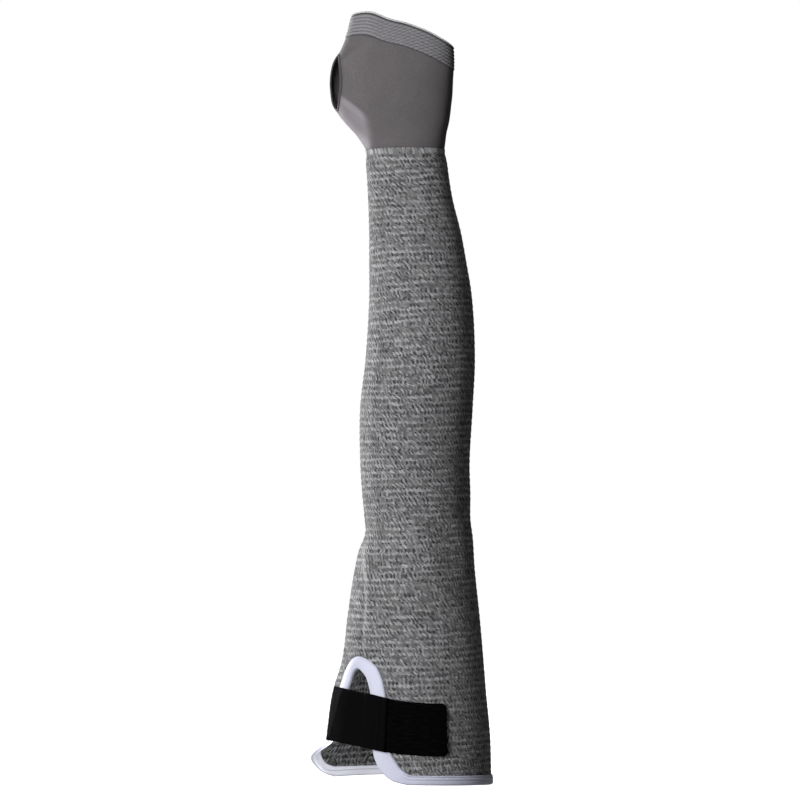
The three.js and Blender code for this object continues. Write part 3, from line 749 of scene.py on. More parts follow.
# up, right, left, right band, left band
slitEdge = [
    (1.0, -0.05, -0.05, 0.78, 0.78),
    (0.984, 0.03, -0.13, 0.86, 0.8),
    (0.93, 0.17, -0.2, 0.98, 0.86),
    (0.87, 0.255, -0.205, 1.0, 0.9),
    (0.766, 0.35, -0.24, 1.0, 0.88),
    (0.628, 0.405, -0.3, 1.0, 0.86),
    (0.471, 0.42, -0.375, 1.02, 0.85),
    (0.38, 0.435, -0.45, 1.03, 0.85),
    (0.324, 0.445, -0.585, 1.04, 0.84),
    (0.27, 0.472, -0.775, 1.05, 0.83),
    (0.196, 0.515, -1.0, 1.06, 0.82),
    (0.098, 0.625, -1.2, 1.08, 0.76),
    (0.03, 0.78, -1.34, 0.92, 0.66),
    (0.0, 0.98, -1.52, 0.62, 0.58),
]
# around in degrees, and the edge's height in shares of the droop
hemLine = [(-180, 0.3), (-120, 0.4), (-60, 0.6), (0, 0.65), (50, 0.1), (90, -0.55), (130, -0.2), (180, 0.3)]
hemRise = curveThrough(hemLine)


def hemHeight(azimuth):
    return slit["hemDroop"] * hemRise(turnBetween(0.0, azimuth) / degree)[..., 0]


def throughPoints(points, samples):  # centripetal curve through the points
    points = np.asarray(points, float)
    first = 2 * points[0] - points[1]
    final = 2 * points[-1] - points[-2]
    padded = np.vstack([first, points, final])
    found = []
    for t in np.linspace(0, len(points) - 1, samples + 1):
        k = min(int(t), len(points) - 2)
        p = t - k
        p0, p1, p2, p3 = padded[k : k + 4]
        d0, d1, d2 = (max(np.sum((b - a) ** 2) ** 0.25, 1e-4) for a, b in ((p0, p1), (p1, p2), (p2, p3)))
        m1 = ((p1 - p0) / d0 - (p2 - p0) / (d0 + d1) + (p2 - p1) / d1) * d1
        m2 = ((p2 - p1) / d1 - (p3 - p1) / (d1 + d2) + (p3 - p2) / d2) * d1
        found.append(p1 + m1 * p + (3 * (p2 - p1) - 2 * m1 - m2) * p**2 + (2 * (p1 - p2) + m1 + m2) * p**3)
    return np.array(found)


def slitSide(sign):
    millimetre = 0.001
    rows = []
    for up, right, left, rightBand, leftBand in slitEdge:
        across, band = (right, rightBand) if sign > 0 else (left, leftBand)
        azimuth = (slit["azimuth"] + across * slit["mouth"] / 2) * degree
        z = up * slit["height"] + (1 - up) * float(hemHeight(azimuth))
        rows.append((azimuth, z / millimetre, band * binding["width"] / millimetre))
    return throughPoints(rows, slit["sideSamples"]) * (1, millimetre, millimetre)


rightSide = slitSide(1)
leftSide = slitSide(-1)


def tubeEdge():
    start = rightSide[-1, 0]
    end = leftSide[-1, 0] + 2 * math.pi
    turns = mix(start, end, np.arange(1, slit["hemSamples"]) / slit["hemSamples"])
    band = np.full(len(turns), binding["hemBand"] * binding["width"])
    hem = np.stack([turns, hemHeight(turns), band], axis=1)
    return np.vstack([leftSide[:0:-1], rightSide, hem])


edge = tubeEdge()
edgeCount = len(edge)
topColumn = len(leftSide) - 1
edgeScale = float(roundScale(slit["azimuth"] * degree, slit["height"] / 2))


def intoCloth():  # direction into the cloth at each point of the edge
    span = slit["inwardSpan"]
    turns = np.arange(edgeCount)

    def wrap(k):
        row = edge[k % edgeCount]
        return row[:, 0] + (k // edgeCount) * 2 * math.pi, row[:, 1]

    after, before = wrap(turns + span), wrap(turns - span)
    around = (after[0] - before[0]) * edgeScale
    rise = after[1] - before[1]
    long = np.hypot(around, rise)
    return -rise / long / edgeScale, around / long


inwardTurn, inwardRise = intoCloth()


def besideEdge(distance):  # distance for each point of the edge, or one for all
    return edge[:, 0] + inwardTurn * distance, edge[:, 1] + inwardRise * distance


# Arm tube: a fine shell whose courses stand up as low ridges

armTube = {
    "bindingRows": 4,
    "fanRows": 76,
    "ringPitch": 0.001125,
    "ringClear": 2.6,
    "crowding": 1.3,
    "innerRowStep": 4,
    "topTaper": 0.012,
    "topLevel": 0.0020,
    # a crease down the front, above the slit, drawn lighter as a painted highlight: up, aside
    "crease": [
        (0.092, -0.0288),
        (0.111, -0.0286),
        (0.128, -0.0276),
        (0.144, -0.0276),
        (0.161, -0.0291),
        (0.176, -0.0297),
    ],
    "creaseWidth": 0.0010,
    "creaseFade": 0.012,
}


def tubeGrid():
    ringStart = slit["height"] + armTube["ringClear"] * binding["width"]
    columns = np.arange(edgeCount)
    even = edge[topColumn, 0] + (columns - topColumn) * 2 * math.pi / edgeCount
    ringTurn = (edge[:, 0] + even) / 2
    turns, heights = [], []
    for j in range(armTube["bindingRows"] + 1):
        turn, z = besideEdge(edge[:, 2] * j / armTube["bindingRows"])
        turns.append(turn)
        heights.append(z)
    fromTurn, fromZ = turns[-1], heights[-1]
    for j in range(1, armTube["fanRows"] + 1):
        share = (j / armTube["fanRows"]) ** armTube["crowding"]
        turns.append(mix(fromTurn, ringTurn, share))
        heights.append(mix(fromZ, ringStart, share))
    ringRows = round((form["tubeLength"] - ringStart) / armTube["ringPitch"])
    for j in range(1, ringRows + 1):
        turns.append(ringTurn)
        heights.append(np.full(edgeCount, mix(ringStart, form["tubeLength"], j / ringRows)))
    return np.array(turns), np.array(heights)


countHeights = np.linspace(-0.01, form["tubeLength"] + 0.02, 60)
stitchesRound = tableCurve(countHeights, girthAt(countHeights) / marled["stitchWidth"])


def knitCounts(azimuth, z):  # stitches round from the front, and courses up
    calm = smoothStep(form["tubeLength"] - z, 0.002, 0.02)
    wander = (marled["droop"] * np.sin(azimuth) + 0.0005 * np.sin(2 * azimuth + z * 40)) * calm
    around = azimuth / (2 * math.pi) * stitchesRound(z)[..., 0]
    courses = (z - wander) / marled["courseHeight"]
    # the last rows before the wrist seam are longer and stand upright
    last = math.floor(form["tubeLength"] / marled["courseHeight"]) - 2
    past = np.maximum(courses - last, 0.0)
    around = around - marled["drift"] * past * 0.5
    return np.stack([around, np.minimum(courses, last) + past * 0.5], axis=-1)


# where the painted highlight along the front crease lies
def frontCreaseHighlight(points):
    up, places = zip(*armTube["crease"])
    aside = np.interp(points[..., 2], up, places)
    across = (points[..., 0] - aside) / armTube["creaseWidth"]
    ends = smoothStep(np.minimum(points[..., 2] - up[0], up[-1] - points[..., 2]), 0, armTube["creaseFade"])
    return np.exp(-(across**2)) * ends * (points[..., 1] < 0)


def makeArmTube():
    azimuth, z = tubeGrid()
    counts = knitCounts(azimuth, z)
    ridge = np.cos(2 * math.pi * counts[..., 1] / marled["coursesPerRidge"])
    calm = smoothStep(np.arange(len(z)), armTube["bindingRows"], armTube["bindingRows"] + 6)[:, None]
    broken = 0.65 + 0.35 * np.sin(counts[..., 0] * 0.37 + np.floor(counts[..., 1] / 2) * 2.1)
    level = tubeOuter + marled["ridge"] * ridge * broken * calm
    toTop = form["tubeLength"] - z
    level = level - (tubeOuter - armTube["topLevel"]) * (1 - smoothStep(toTop, 0, armTube["topTaper"]))
    outer = clothPoint(azimuth, z, level)
    pick = np.unique(np.append(np.arange(0, len(z), armTube["innerRowStep"]), len(z) - 1))
    inside = clothPoint(azimuth[pick], z[pick], tubeInner)
    rows, columns = z.shape
    seam = stitchesRound(z[:, 0])[:, 0]
    faces, corners = gridFaces(rows, columns)
    flat = cornerCounts(counts, corners, seam)
    start = rows * columns
    innerFaces, innerCorners = gridFaces(len(pick), columns, start, flip=True)
    innerFlat = cornerCounts(counts[pick], innerCorners, seam[pick])
    i = np.arange(columns)
    nextColumn = (i + 1) % columns
    hem = np.stack([nextColumn, i, start + i, start + nextColumn], axis=1)
    topOut, topIn = (rows - 1) * columns, start + (len(pick) - 1) * columns
    top = np.stack([topOut + i, topOut + nextColumn, topIn + nextColumn, topIn + i], axis=1)
    same = np.stack([i, i, i, i], axis=1)
    points = np.vstack([outer.reshape(-1, 3), inside.reshape(-1, 3)])
    allFaces = np.vstack([faces, innerFaces, hem, top])
    allCounts = np.vstack([flat, innerFlat, counts[0][same], counts[-1][same]])
    piece = meshObject("arm_tube_knit", points, allFaces, allCounts, marledMaterial)
    writeShare(piece, "Inside", np.arange(len(points)) >= start)
    writeShare(piece, "CreaseHighlight", np.append(frontCreaseHighlight(outer), np.zeros(len(points) - start)))
    print("arm tube:", rows, "x", columns)
    return piece


# Hand section with the thumb hole

hand = {
    "wristLap": 0.007,
    "rimSlope": 0.025,
    "cuffHeight": 0.017,
    "columns": 40,
    "rows": 15,
    "finer": 6,
    "holeReach": 3,
    "holeWidth": 0.0235,
    "holeHeight": 0.039,
    "holeRise": 0.048,
    "holeAzimuth": -79.5,
    "weltWidth": 0.0018,
    "edgeOuter": 0.0007,  # level of the knit at the thumb hole
    "turnedWidth": 0.0011,
    "turnedThickness": 0.0003,
    "weltColumns": 120,
    "weltLength": 0.1,  # round the hole
    "weltGirth": 0.008,  # round the welt's own section
    "weltGap": 0.0001,
    "seamSwell": 0.0007,
}
# side to side from the thumb, and how far down the rim's slope
rimDrops = [
    (-1.0, 0.06),
    (-0.8, 0.0),
    (-0.6, 0.0),
    (-0.25, 0.2),
    (0.15, 0.35),
    (0.5, 0.56),
    (0.72, 0.75),
    (1.0, 1.0),
]
rimDrop = curveThrough(rimDrops)
# The crease at the thumb's root: around and height above the wrist along its ridge. The knit on its thumb
# side lies flat and stretched; its lighter colour is painted light on the facet that faces the key.
handCrease = {
    "path": [(-53, 0.000), (-38, 0.0145), (-33, 0.0255), (-46, 0.036), (-64, 0.044)],
    "ridge": 0.0009,
    "ridgeWidth": 0.006,
    "dip": 0.0006,
    "dipFrom": 0.009,
    "dipWidth": 0.009,
    "fade": (0.045, 0.085),  # where the painted lighter facet ends, past the ridge
}


def rimHeight(azimuth):
    return form["tubeLength"] + form["handLength"] - hand["rimSlope"] * rimDrop(np.sin(azimuth))[..., 0]


holeZ = form["tubeLength"] + hand["holeRise"]
holeAzimuth = hand["holeAzimuth"] * degree
holeScale = float(roundScale(holeAzimuth, holeZ))


def besideHole(turn, distance):
    azimuth = holeAzimuth + (hand["holeWidth"] / 2 + distance) * np.cos(turn) / holeScale
    return azimuth, holeZ + (hand["holeHeight"] / 2 + distance) * np.sin(turn)


handBottom = form["tubeLength"] - hand["wristLap"]


def handTop(azimuth):
    return rimHeight(azimuth) - hand["cuffHeight"] - cloth["layerGap"]


holeShare = (holeZ - handBottom) / (float(handTop(holeAzimuth)) - handBottom)
holeRow = round(holeShare * (hand["rows"] - 1))


def pastCrease(azimuth, z):  # distance from the ridge towards the thumb, and how far it holds here
    above = z - form["tubeLength"]
    heights = [row[1] for row in handCrease["path"]]
    ridge = tableCurve(heights, [row[0] for row in handCrease["path"]])(above)[..., 0]
    gap = turnBetween(azimuth, ridge * degree) * roundScale(azimuth, z)
    ends = smoothStep(above, heights[0] - 0.006, heights[0] + 0.004)
    return gap, ends * (1 - smoothStep(above, heights[-1] - 0.012, heights[-1] + 0.002))


def creaseLift(azimuth, z):
    gap, ends = pastCrease(azimuth, z)
    slope = np.where(gap < 0, handCrease["ridgeWidth"] * 1.6, handCrease["ridgeWidth"])
    ridge = handCrease["ridge"] * np.exp(-np.abs(gap / slope) ** 1.3)
    dip = handCrease["dip"] * np.exp(-(((gap - handCrease["dipFrom"]) / handCrease["dipWidth"]) ** 2))
    return ends * (ridge - dip)


def makeHandTube():
    finer, reach = hand["finer"], hand["holeReach"]
    columns = hand["columns"] * finer
    rows = (hand["rows"] - 1) * finer + 1
    j, i = np.meshgrid(np.arange(rows) / finer, np.arange(columns) / finer, indexing="ij")
    turns = np.where(i > hand["columns"] / 2, i - hand["columns"], i)
    plainTurn = holeAzimuth + turns * 2 * math.pi / hand["columns"]
    plainZ = mix(handBottom, handTop(plainTurn), j / (hand["rows"] - 1))
    ring = np.maximum(np.abs(turns), np.abs(j - holeRow))
    turn = np.arctan2(j - holeRow, turns)
    nearTurn, nearZ = besideHole(turn, (ring - reach) * (hand["weltWidth"] + cloth["layerGap"]))
    away = smoothStep(ring, reach + 1, reach + 3)
    away = np.where(ring < reach - 1e-6, 1.0, away)
    away = np.maximum(away, smoothStep(np.minimum(j, hand["rows"] - 1 - j), 1.0, 0.0))
    azimuth, z = mix(nearTurn, plainTurn, away), mix(nearZ, plainZ, away)

    def isKept(row, column):
        centreRow = (row + 0.5) / finer
        centreTurn = (column + 0.5) / finer
        centreTurn = np.where(centreTurn > hand["columns"] / 2, centreTurn - hand["columns"], centreTurn)
        return np.maximum(np.abs(centreTurn), np.abs(centreRow - holeRow)) > reach

    lift = creaseLift(azimuth, z)
    above = z - form["tubeLength"]
    swell = smoothStep(above, -0.0002, 0.0008) * (1 - smoothStep(above, 0.002, 0.014))
    fromHole = turnBetween(holeAzimuth, azimuth) * holeScale
    beyond = np.hypot(fromHole / (hand["holeWidth"] / 2), (z - holeZ) / (hand["holeHeight"] / 2))
    thin = 1 - smoothStep(beyond, 1.0, 1.35)
    level = mix(handOuter, hand["edgeOuter"], thin) + hand["seamSwell"] * swell + lift
    outer = clothPoint(azimuth, z, level)
    inside = clothPoint(azimuth, z, handInner + lift)
    gap, ends = pastCrease(azimuth, z)
    soft = mix(0.0045, 0.0018, smoothStep(above, 0.008, 0.03))
    # painted light: share of the lighter colour on the thumb-base facet past the crease
    facetLightShare = ends * smoothStep(gap, -soft, soft) * (1 - smoothStep(gap, *handCrease["fade"]))
    width = girthAt(z[:, 0]) / plain["stitchWidth"]
    around = (plainTurn - holeAzimuth) / (2 * math.pi) * np.mean(width)
    counts = np.stack([around, (z - handBottom) / plain["courseHeight"]], axis=-1)
    counts[:, columns // 2 + 1 :, 0] += np.mean(width)  # the columns start at the hole and run round
    seam = np.full(rows, np.mean(width))
    points = np.vstack([outer.reshape(-1, 3), inside.reshape(-1, 3)])
    faces, corners = gridFaces(rows, columns, keep=isKept)
    flat = cornerCounts(counts, corners, seam)
    total = rows * columns
    innerFaces = (faces + total)[:, ::-1]
    allFaces = np.vstack([faces, innerFaces])
    allCounts = np.vstack([flat, flat[:, ::-1]])
    openings = openEdges(faces)
    sides = np.stack([openings[:, 1], openings[:, 0], openings[:, 0] + total, openings[:, 1] + total], axis=1)
    pick = counts.reshape(-1, 2)
    sideCounts = pick[np.stack([openings[:, 1], openings[:, 0], openings[:, 0], openings[:, 1]], axis=1)]
    used, index = np.unique(np.vstack([allFaces, sides]), return_inverse=True)
    allCounts = np.vstack([allCounts, sideCounts])
    piece = meshObject("hand_tube_knit", points[used], index.reshape(-1, 4), allCounts, plainMaterial)
    writeShare(piece, "PaintedFacetLight", np.tile(facetLightShare.ravel(), 2)[used])
    print("hand section:", rows, "x", columns)
    return piece


def openEdges(faces):  # directed edges of a face that no other face shares
    pairs = np.concatenate([faces[:, [k, (k + 1) % 4]] for k in range(4)])
    keys = {(a, b) for a, b in pairs.tolist()}
    return np.array([pair for pair in pairs.tolist() if (pair[1], pair[0]) not in keys])


def flangeRound(share):  # the flange thins over its first fifth
    return 0.25 + 0.75 * math.sqrt(max(0.0, 1 - max(0.0, 1 - share * 5) ** 2))


def foldedSection(inner, outer, width, thickness, puff=0.0, groove=0.0, steps=14, gap=cloth["layerGap"]):
    # band folded over an edge of cloth: distance inside the edge and level, from the outer flange
    # round the fold to the inner flange and back
    top = outer + gap
    bottom = inner - gap
    middle = (inner + outer) / 2
    reach = (top - bottom) / 2 + thickness
    section = [(width, top)]
    for k in range(steps + 1):
        share = k / steps
        swell = puff * math.sin(math.pi * min(1.0, share * 1.05)) ** 0.7
        for place, half, depth in binding["grooves"]:
            swell -= depth * groove * math.exp(-(((share * width - place) / half) ** 2))
        section.append((width * (1 - share), top + thickness * flangeRound(share) + swell))
    for k in range(1, steps):
        turn = k / steps * math.pi
        section.append((-(gap + thickness) * math.sin(turn), middle + reach * math.cos(turn)))
    for k in range(steps + 1):
        share = k / steps
        section.append((width * share, bottom - thickness * flangeRound(1 - share)))
    section += [(width, bottom), (width / 2, bottom), (-gap, bottom)]
    section += [(-gap, top), (width / 2, top)]
    return section


def hemShare(band):  # 1 at the hem, where the band is narrow, and 0 along the slit
    return 1 - smoothStep(band, *binding["hemBands"])


def bindingSection(i):
    band = edge[i, 2]
    isHem = hemShare(band)
    puff = binding["puff"] * (1 - 0.6 * isHem)
    groove = binding["groove"] * isHem
    return foldedSection(tubeInner, tubeOuter, band, binding["thickness"], puff, groove)


def makeHemBinding():
    bands = np.array([bindingSection(i) for i in range(edgeCount)])
    azimuth = edge[:, 0][:, None] + inwardTurn[:, None] * bands[..., 0]
    z = edge[:, 1][:, None] + inwardRise[:, None] * bands[..., 0]
    points = clothPoint(azimuth, z, bands[..., 1])
    step = np.linalg.norm(np.diff(points[:, 0], axis=0, append=points[:1, 0]), axis=-1)
    along = np.concatenate([[0], np.cumsum(step)[:-1]])
    size = bands.shape[1]
    across = np.cumsum(np.linalg.norm(np.diff(points, axis=1, prepend=points[:, :1]), axis=-1), axis=1)
    counts = np.stack([np.broadcast_to(along[:, None], across.shape), across], axis=-1)
    piece = closedBand("hem_binding_tape", points, counts, step.sum(), bindingMaterial)
    writeShare(piece, "Hem", np.repeat(hemShare(edge[:, 2]), size))
    writeShare(piece, "PaintedLightFlange", np.tile(smoothStep(np.arange(size), *binding["turnedFrom"]), edgeCount))
    print("binding:", edgeCount, "x", size, "length", round(float(step.sum()), 3))
    return piece


def makeThumbWelt():
    columns, length, gap = hand["weltColumns"], hand["weltLength"], hand["weltGap"]
    turns = -np.arange(columns) * 2 * math.pi / columns
    sizes = (handInner + gap, hand["edgeOuter"], hand["turnedWidth"], hand["turnedThickness"])
    section = np.array(foldedSection(*sizes, steps=6, gap=gap))
    azimuth, z = besideHole(turns[:, None], section[None, :, 0])
    points = clothPoint(azimuth, z, section[None, :, 1] + creaseLift(azimuth, z))
    stitchesAlong = length / plain["stitchWidth"]
    around = np.arange(columns) / columns * stitchesAlong
    across = np.linspace(0, hand["weltGirth"], len(section)) / plain["courseHeight"]
    counts = np.stack(np.broadcast_arrays(around[:, None], across[None, :]), axis=-1)
    return closedBand("thumb_welt_knit", points, counts, stitchesAlong, weltShadedMaterial)


cuff = {
    "height": 0.017,
    "ribPitch": 0.0024,
    "ribDepth": 0.0004,
    "columns": 240,
    "samplesPerRib": 8,
    "lip": 0.0011,  # height of the rolled rim
    "lipSwell": 0.0009,  # half its thickness
    "lipRise": 0.0003,
    "lipToRibs": 0.0014,
    "hatchFrom": (-0.75, -0.2),  # from the thumb's side, where the courses begin to look hatched
}


def makeFingerCuff():
    lip = cuff["lip"]
    top = lip + cuff["lipToRibs"]
    ribs = round((cuff["height"] - top) / cuff["ribPitch"])
    profile = []  # distance below the rim, level, rib count
    lipMiddle = (handInner + cuffOuter + cuff["lipRise"]) / 2
    for k in range(9):  # rolled lip, from the inside over the rim
        turn = k / 8 * math.pi
        profile.append((lip * (1 - math.sin(turn)), lipMiddle - math.cos(turn) * cuff["lipSwell"], 0.0))
    profile.append((lip + 0.0002, cuffOuter - 0.0002, 0.06))
    profile.append((lip + 0.0008, cuffOuter - 0.0001, 0.25))
    steps = ribs * cuff["samplesPerRib"]
    for k in range(steps + 1):
        share = k / steps
        below = mix(top, cuff["height"], share)
        wave = 0.5 - 0.5 * math.cos(2 * math.pi * share * ribs)
        profile.append((below, cuffOuter + cuff["ribDepth"] * wave, share * ribs + 0.5))
    for share in (1.0, 0.75, 0.5, 0.25):
        profile.append((cuff["height"] * share, handInner, ribs * share))
    profile = np.array(profile)
    turns = holeAzimuth + np.arange(cuff["columns"]) * 2 * math.pi / cuff["columns"]
    azimuth = np.broadcast_to(turns[:, None], (len(turns), len(profile)))
    z = rimHeight(azimuth) - profile[None, :, 0]
    points = clothPoint(azimuth, z, np.broadcast_to(profile[None, :, 1], z.shape))
    length = float(girthAt([form["tubeLength"] + form["handLength"] * 0.9])[0])
    stitchesAlong = length / ribbed["stitchWidth"]
    around = np.arange(cuff["columns"]) / cuff["columns"] * stitchesAlong
    counts = np.stack(np.broadcast_arrays(around[:, None], profile[None, :, 2]), axis=-1)
    piece = closedBand("finger_cuff_knit", points, counts, stitchesAlong, ribbedMaterial)
    writeShare(piece, "Hatch", smoothStep(np.sin(azimuth), *cuff["hatchFrom"]))
    print("cuff ribs:", ribs)
    return piece


# Strap

def sideAzimuth(side, z):
    order = np.argsort(side[:, 1])
    return np.interp(z, side[order, 1], side[order, 0])


def edgeDistance(azimuth, z):
    gaps = np.hypot(turnBetween(edge[:, 0], azimuth[..., None]) * edgeScale, edge[:, 1] - z[..., None])
    return gaps.min(axis=-1)


def strapBed(azimuth, z):
    onKnit = tubeOuter + strap["seat"]
    onBinding = tubeOuter + cloth["layerGap"] + binding["thickness"] + strap["ease"]
    left, right = sideAzimuth(leftSide, z), sideAzimuth(rightSide, z)
    start, end = clothPoint(left, z, onBinding), clothPoint(right, z, onBinding)
    foot = clothPoint(azimuth, z, 0.0)
    across = np.stack([end[..., 1] - start[..., 1], start[..., 0] - end[..., 0], np.zeros(z.shape)], axis=-1)
    straight = np.sum((start - foot) * across, axis=-1) / np.sum(formNormal(azimuth, z) * across, axis=-1)
    overSlit = (z < slit["height"]) & (azimuth > left) & (azimuth < right)
    clear = binding["width"] * strap["bindingClear"]
    past = smoothStep(edgeDistance(azimuth, z), clear, clear + binding["width"])
    return np.where(overSlit, mix(onBinding, straight, strap["tautness"]), mix(onBinding, onKnit, past))


# around in degrees, and how far the strap's middle has come down, in shares of its drop
strapLine = [(-90, -0.31), (-60, -0.27), (-30, -0.13), (-10, 0.04), (12, 0.14), (45, 0.17)]
strapFall = curveThrough(strapLine)
strapScale = float(roundScale(slit["azimuth"] * degree, strap["rise"]))
webbingStart = strap["webbingStart"] * degree
webbingEnd = webbingStart + strap["webbingLength"] / strapScale
tabStart = webbingEnd - strap["lap"] / strapScale
tabEnd = tabStart + strap["tabLength"] / strapScale


def strapPoint(azimuth, across, level, corner=0.0):
    # across runs from -1 at the lower edge to 1 at the upper edge
    middle = strap["rise"] - strap["drop"] * strapFall(azimuth / degree)[..., 0]
    z = middle + (strap["width"] / 2 - corner) * across
    return clothPoint(azimuth, z, strapBed(azimuth, z) + level)


def makeStrip(name, start, end, thickness, lift, rounded, material, edgeRound, ragged=0.0):
    cell, rows = 0.0006, 56
    steps = math.ceil((end - start) * strapScale / cell)
    around = np.linspace(start, end, steps + 1)
    # closed section across the strip: down the outer face, round the edge and back
    section = [(2 * k / rows - 1, 1.0) for k in range(rows + 1)]
    section += [(1 - 2 * k / rows, 0.0) for k in range(rows + 1)]
    section = np.array(section)
    azimuth = np.broadcast_to(around[:, None], (steps + 1, len(section)))
    edgeWave = np.sin(section[:, 0] * 19) + np.sin(section[:, 0] * 11 + 1) - 2.4 * (1 - section[:, 0] ** 2)
    azimuth = azimuth + smoothStep(azimuth, mix(start, end, 0.8), end) * ragged * 0.5 * edgeWave / strapScale
    end = azimuth[-1:, :]
    toEnd = np.minimum(rounded, (end - azimuth) * strapScale)
    corner = rounded - np.sqrt(np.maximum(rounded**2 - (rounded - toEnd) ** 2, 0))
    if ragged:
        wobble = np.sin(azimuth * 310) + np.sin(azimuth * 173 + 1.3) + np.sin(azimuth * 97)
        corner = corner + ragged * (0.5 + wobble / 6)
    across = section[None, :, 0]
    nearEdge = (1 - np.abs(across)) * strap["width"] / 2
    nearEnd = np.minimum((end - azimuth), (azimuth - start)) * strapScale
    rim = np.minimum(nearEdge, nearEnd)
    full = np.sqrt(np.clip(1 - (1 - rim / edgeRound) ** 2, 0, 1))
    full = np.where(rim < edgeRound, full, 1.0)
    level = thickness * (0.35 + 0.65 * full) * section[None, :, 1]
    points = strapPoint(azimuth, np.broadcast_to(across, azimuth.shape), level + lift(azimuth), corner)
    size = len(section)
    i, k = np.meshgrid(np.arange(steps), np.arange(size), indexing="ij")
    i, k = i.ravel(), k.ravel()
    nextK = (k + 1) % size
    faces = np.stack([i * size + k, (i + 1) * size + k, (i + 1) * size + nextK, i * size + nextK], axis=1)
    k = np.arange(rows)
    startCap = np.stack([k, k + 1, size - 2 - k, size - 1 - k], axis=1)
    endCap = (startCap + steps * size)[:, ::-1]
    long = (around - start) * strapScale
    wide = section[:, 0] * strap["width"] / 2
    counts = np.stack(np.broadcast_arrays(long[:, None], wide[None, :]), axis=-1).reshape(-1, 2)
    faces = np.vstack([faces, startCap, endCap])
    return meshObject(name, points, faces, counts[faces], material)


def webbingLift(azimuth):
    climbStart = tabStart - strap["climb"] / strapScale
    climbEnd = tabStart - strap["climb"] / 2 / strapScale
    return (strap["tabThickness"] + strap["seat"]) * smoothStep(azimuth, climbStart, climbEnd)


def makeStrapWebbing():
    return makeStrip(
        "strap_webbing_band",
        webbingStart,
        webbingEnd,
        strap["webbingThickness"],
        webbingLift,
        strap["webbingCorner"],
        webbingMaterial,
        strap["webbingEdge"],
    )


def makeStrapTab():
    return makeStrip(
        "strap_tab_tape",
        tabStart,
        tabEnd,
        strap["tabThickness"],
        lambda azimuth: 0 * azimuth,
        strap["tabCorner"],
        loopTapeMaterial,
        strap["tabEdge"],
        strap["ragged"],
    )


# Stitches: threads laid end to end along the seams

stitches = {
    "pitch": 0.0027,
    "length": 0.0021,
    "radius": 0.00022,
    "relief": 0.0001,
    "fromEdge": 0.0013,  # the binding's line, from its inner edge
    "strapRows": (0.0025, 0.0060),  # across the webbing, from each of its ends
    "strapSpan": 0.92,  # share of the webbing's width
    "seed": 4,
}


def stitchLineTree():
    # "outward" on the path is the way out of the cloth
    tree = bpy.data.node_groups.new("StitchLine", "GeometryNodeTree")
    kinds = {"Path": "Geometry", "Pitch": "Float", "Length": "Float", "Radius": "Float"}
    kinds |= {"Seed": "Int", "Thread": "Material"}
    for label, kind in kinds.items():
        tree.interface.new_socket(name=label, in_out="INPUT", socket_type="NodeSocket" + kind)
    tree.interface.new_socket(name="Stitches", in_out="OUTPUT", socket_type="NodeSocketGeometry")
    given = tree.nodes.new("NodeGroupInput")
    result = tree.nodes.new("NodeGroupOutput")
    seam = addNode(tree, "GeometryNodeMeshToCurve", {"Mesh": given.outputs["Path"]})
    spacing = {"Curve": seam.outputs[0], "Length": given.outputs["Pitch"]}
    evenly = addNode(tree, "GeometryNodeResampleCurve", spacing, mode="LENGTH")
    across = times(tree, given.outputs["Radius"], 2.0)
    size = addNode(tree, "ShaderNodeCombineXYZ", {"X": given.outputs["Length"], "Y": across, "Z": across})
    bead = addNode(tree, "GeometryNodeMeshUVSphere", {"Segments": 6, "Rings": 5, "Radius": 0.5})
    thread = addNode(tree, "GeometryNodeTransform", {"Geometry": bead.outputs[0], "Scale": size.outputs[0]})
    tangent = addNode(tree, "GeometryNodeInputTangent")
    outward = addNode(tree, "GeometryNodeInputNamedAttribute", {"Name": "outward"}, data_type="FLOAT_VECTOR")
    along = addNode(tree, "FunctionNodeAlignRotationToVector", {"Vector": tangent.outputs[0]}, axis="X")
    turned = addNode(
        tree,
        "FunctionNodeAlignRotationToVector",
        {"Rotation": along.outputs[0], "Vector": outward.outputs[0]},
        axis="Z",
        pivot_axis="X",
    )
    sizes = {2: 0.88, 3: 1.08, "Seed": given.outputs["Seed"]}
    uneven = addNode(tree, "FunctionNodeRandomValue", sizes, data_type="FLOAT")
    placed = addNode(
        tree,
        "GeometryNodeInstanceOnPoints",
        {
            "Points": evenly.outputs[0],
            "Instance": thread.outputs[0],
            "Rotation": turned.outputs[0],
            "Scale": uneven.outputs[1],
        },
    )
    real = addNode(tree, "GeometryNodeRealizeInstances", {"Geometry": placed.outputs[0]})
    dyed = addNode(
        tree, "GeometryNodeSetMaterial", {"Geometry": real.outputs[0], "Material": given.outputs["Thread"]}
    )
    tree.links.new(dyed.outputs[0], result.inputs["Stitches"])
    return tree


stitchLine = stitchLineTree()


def sew(name, seams, material):  # seams: places along each one, and the way out of the cloth there
    places = np.vstack([place for place, outward in seams])
    outwards = np.vstack([outward for place, outward in seams])
    starts = np.cumsum([0] + [len(place) for place, outward in seams])
    links = [(k, k + 1) for start, end in zip(starts, starts[1:]) for k in range(start, end - 1)]
    mesh = bpy.data.meshes.new(name + "_path")
    mesh.from_pydata(places.tolist(), links, [])
    layer = mesh.attributes.new("outward", "FLOAT_VECTOR", "POINT")
    layer.data.foreach_set("vector", outwards.astype(np.float32).ravel())
    seamPath = placeObject(name + "_path", mesh)
    modifier = seamPath.modifiers.new("stitches", "NODES")
    modifier.node_group = stitchLine
    inputs = [item for item in stitchLine.interface.items_tree if item.in_out == "INPUT"]
    sockets = {item.name: item.identifier for item in inputs}
    for label in ("Pitch", "Length", "Radius", "Seed"):
        modifier[sockets[label]] = stitches[label.lower()]
    modifier[sockets["Thread"]] = material
    graph = bpy.context.evaluated_depsgraph_get()
    sewn = bpy.data.meshes.new_from_object(seamPath.evaluated_get(graph))
    seamPath.modifiers.clear()
    bpy.data.objects.remove(seamPath)
    sewn.name = name
    sewn.polygons.foreach_set("use_smooth", [True] * len(sewn.polygons))
    print(name + ":", len(sewn.polygons), "faces")
    return placeObject(name, sewn)


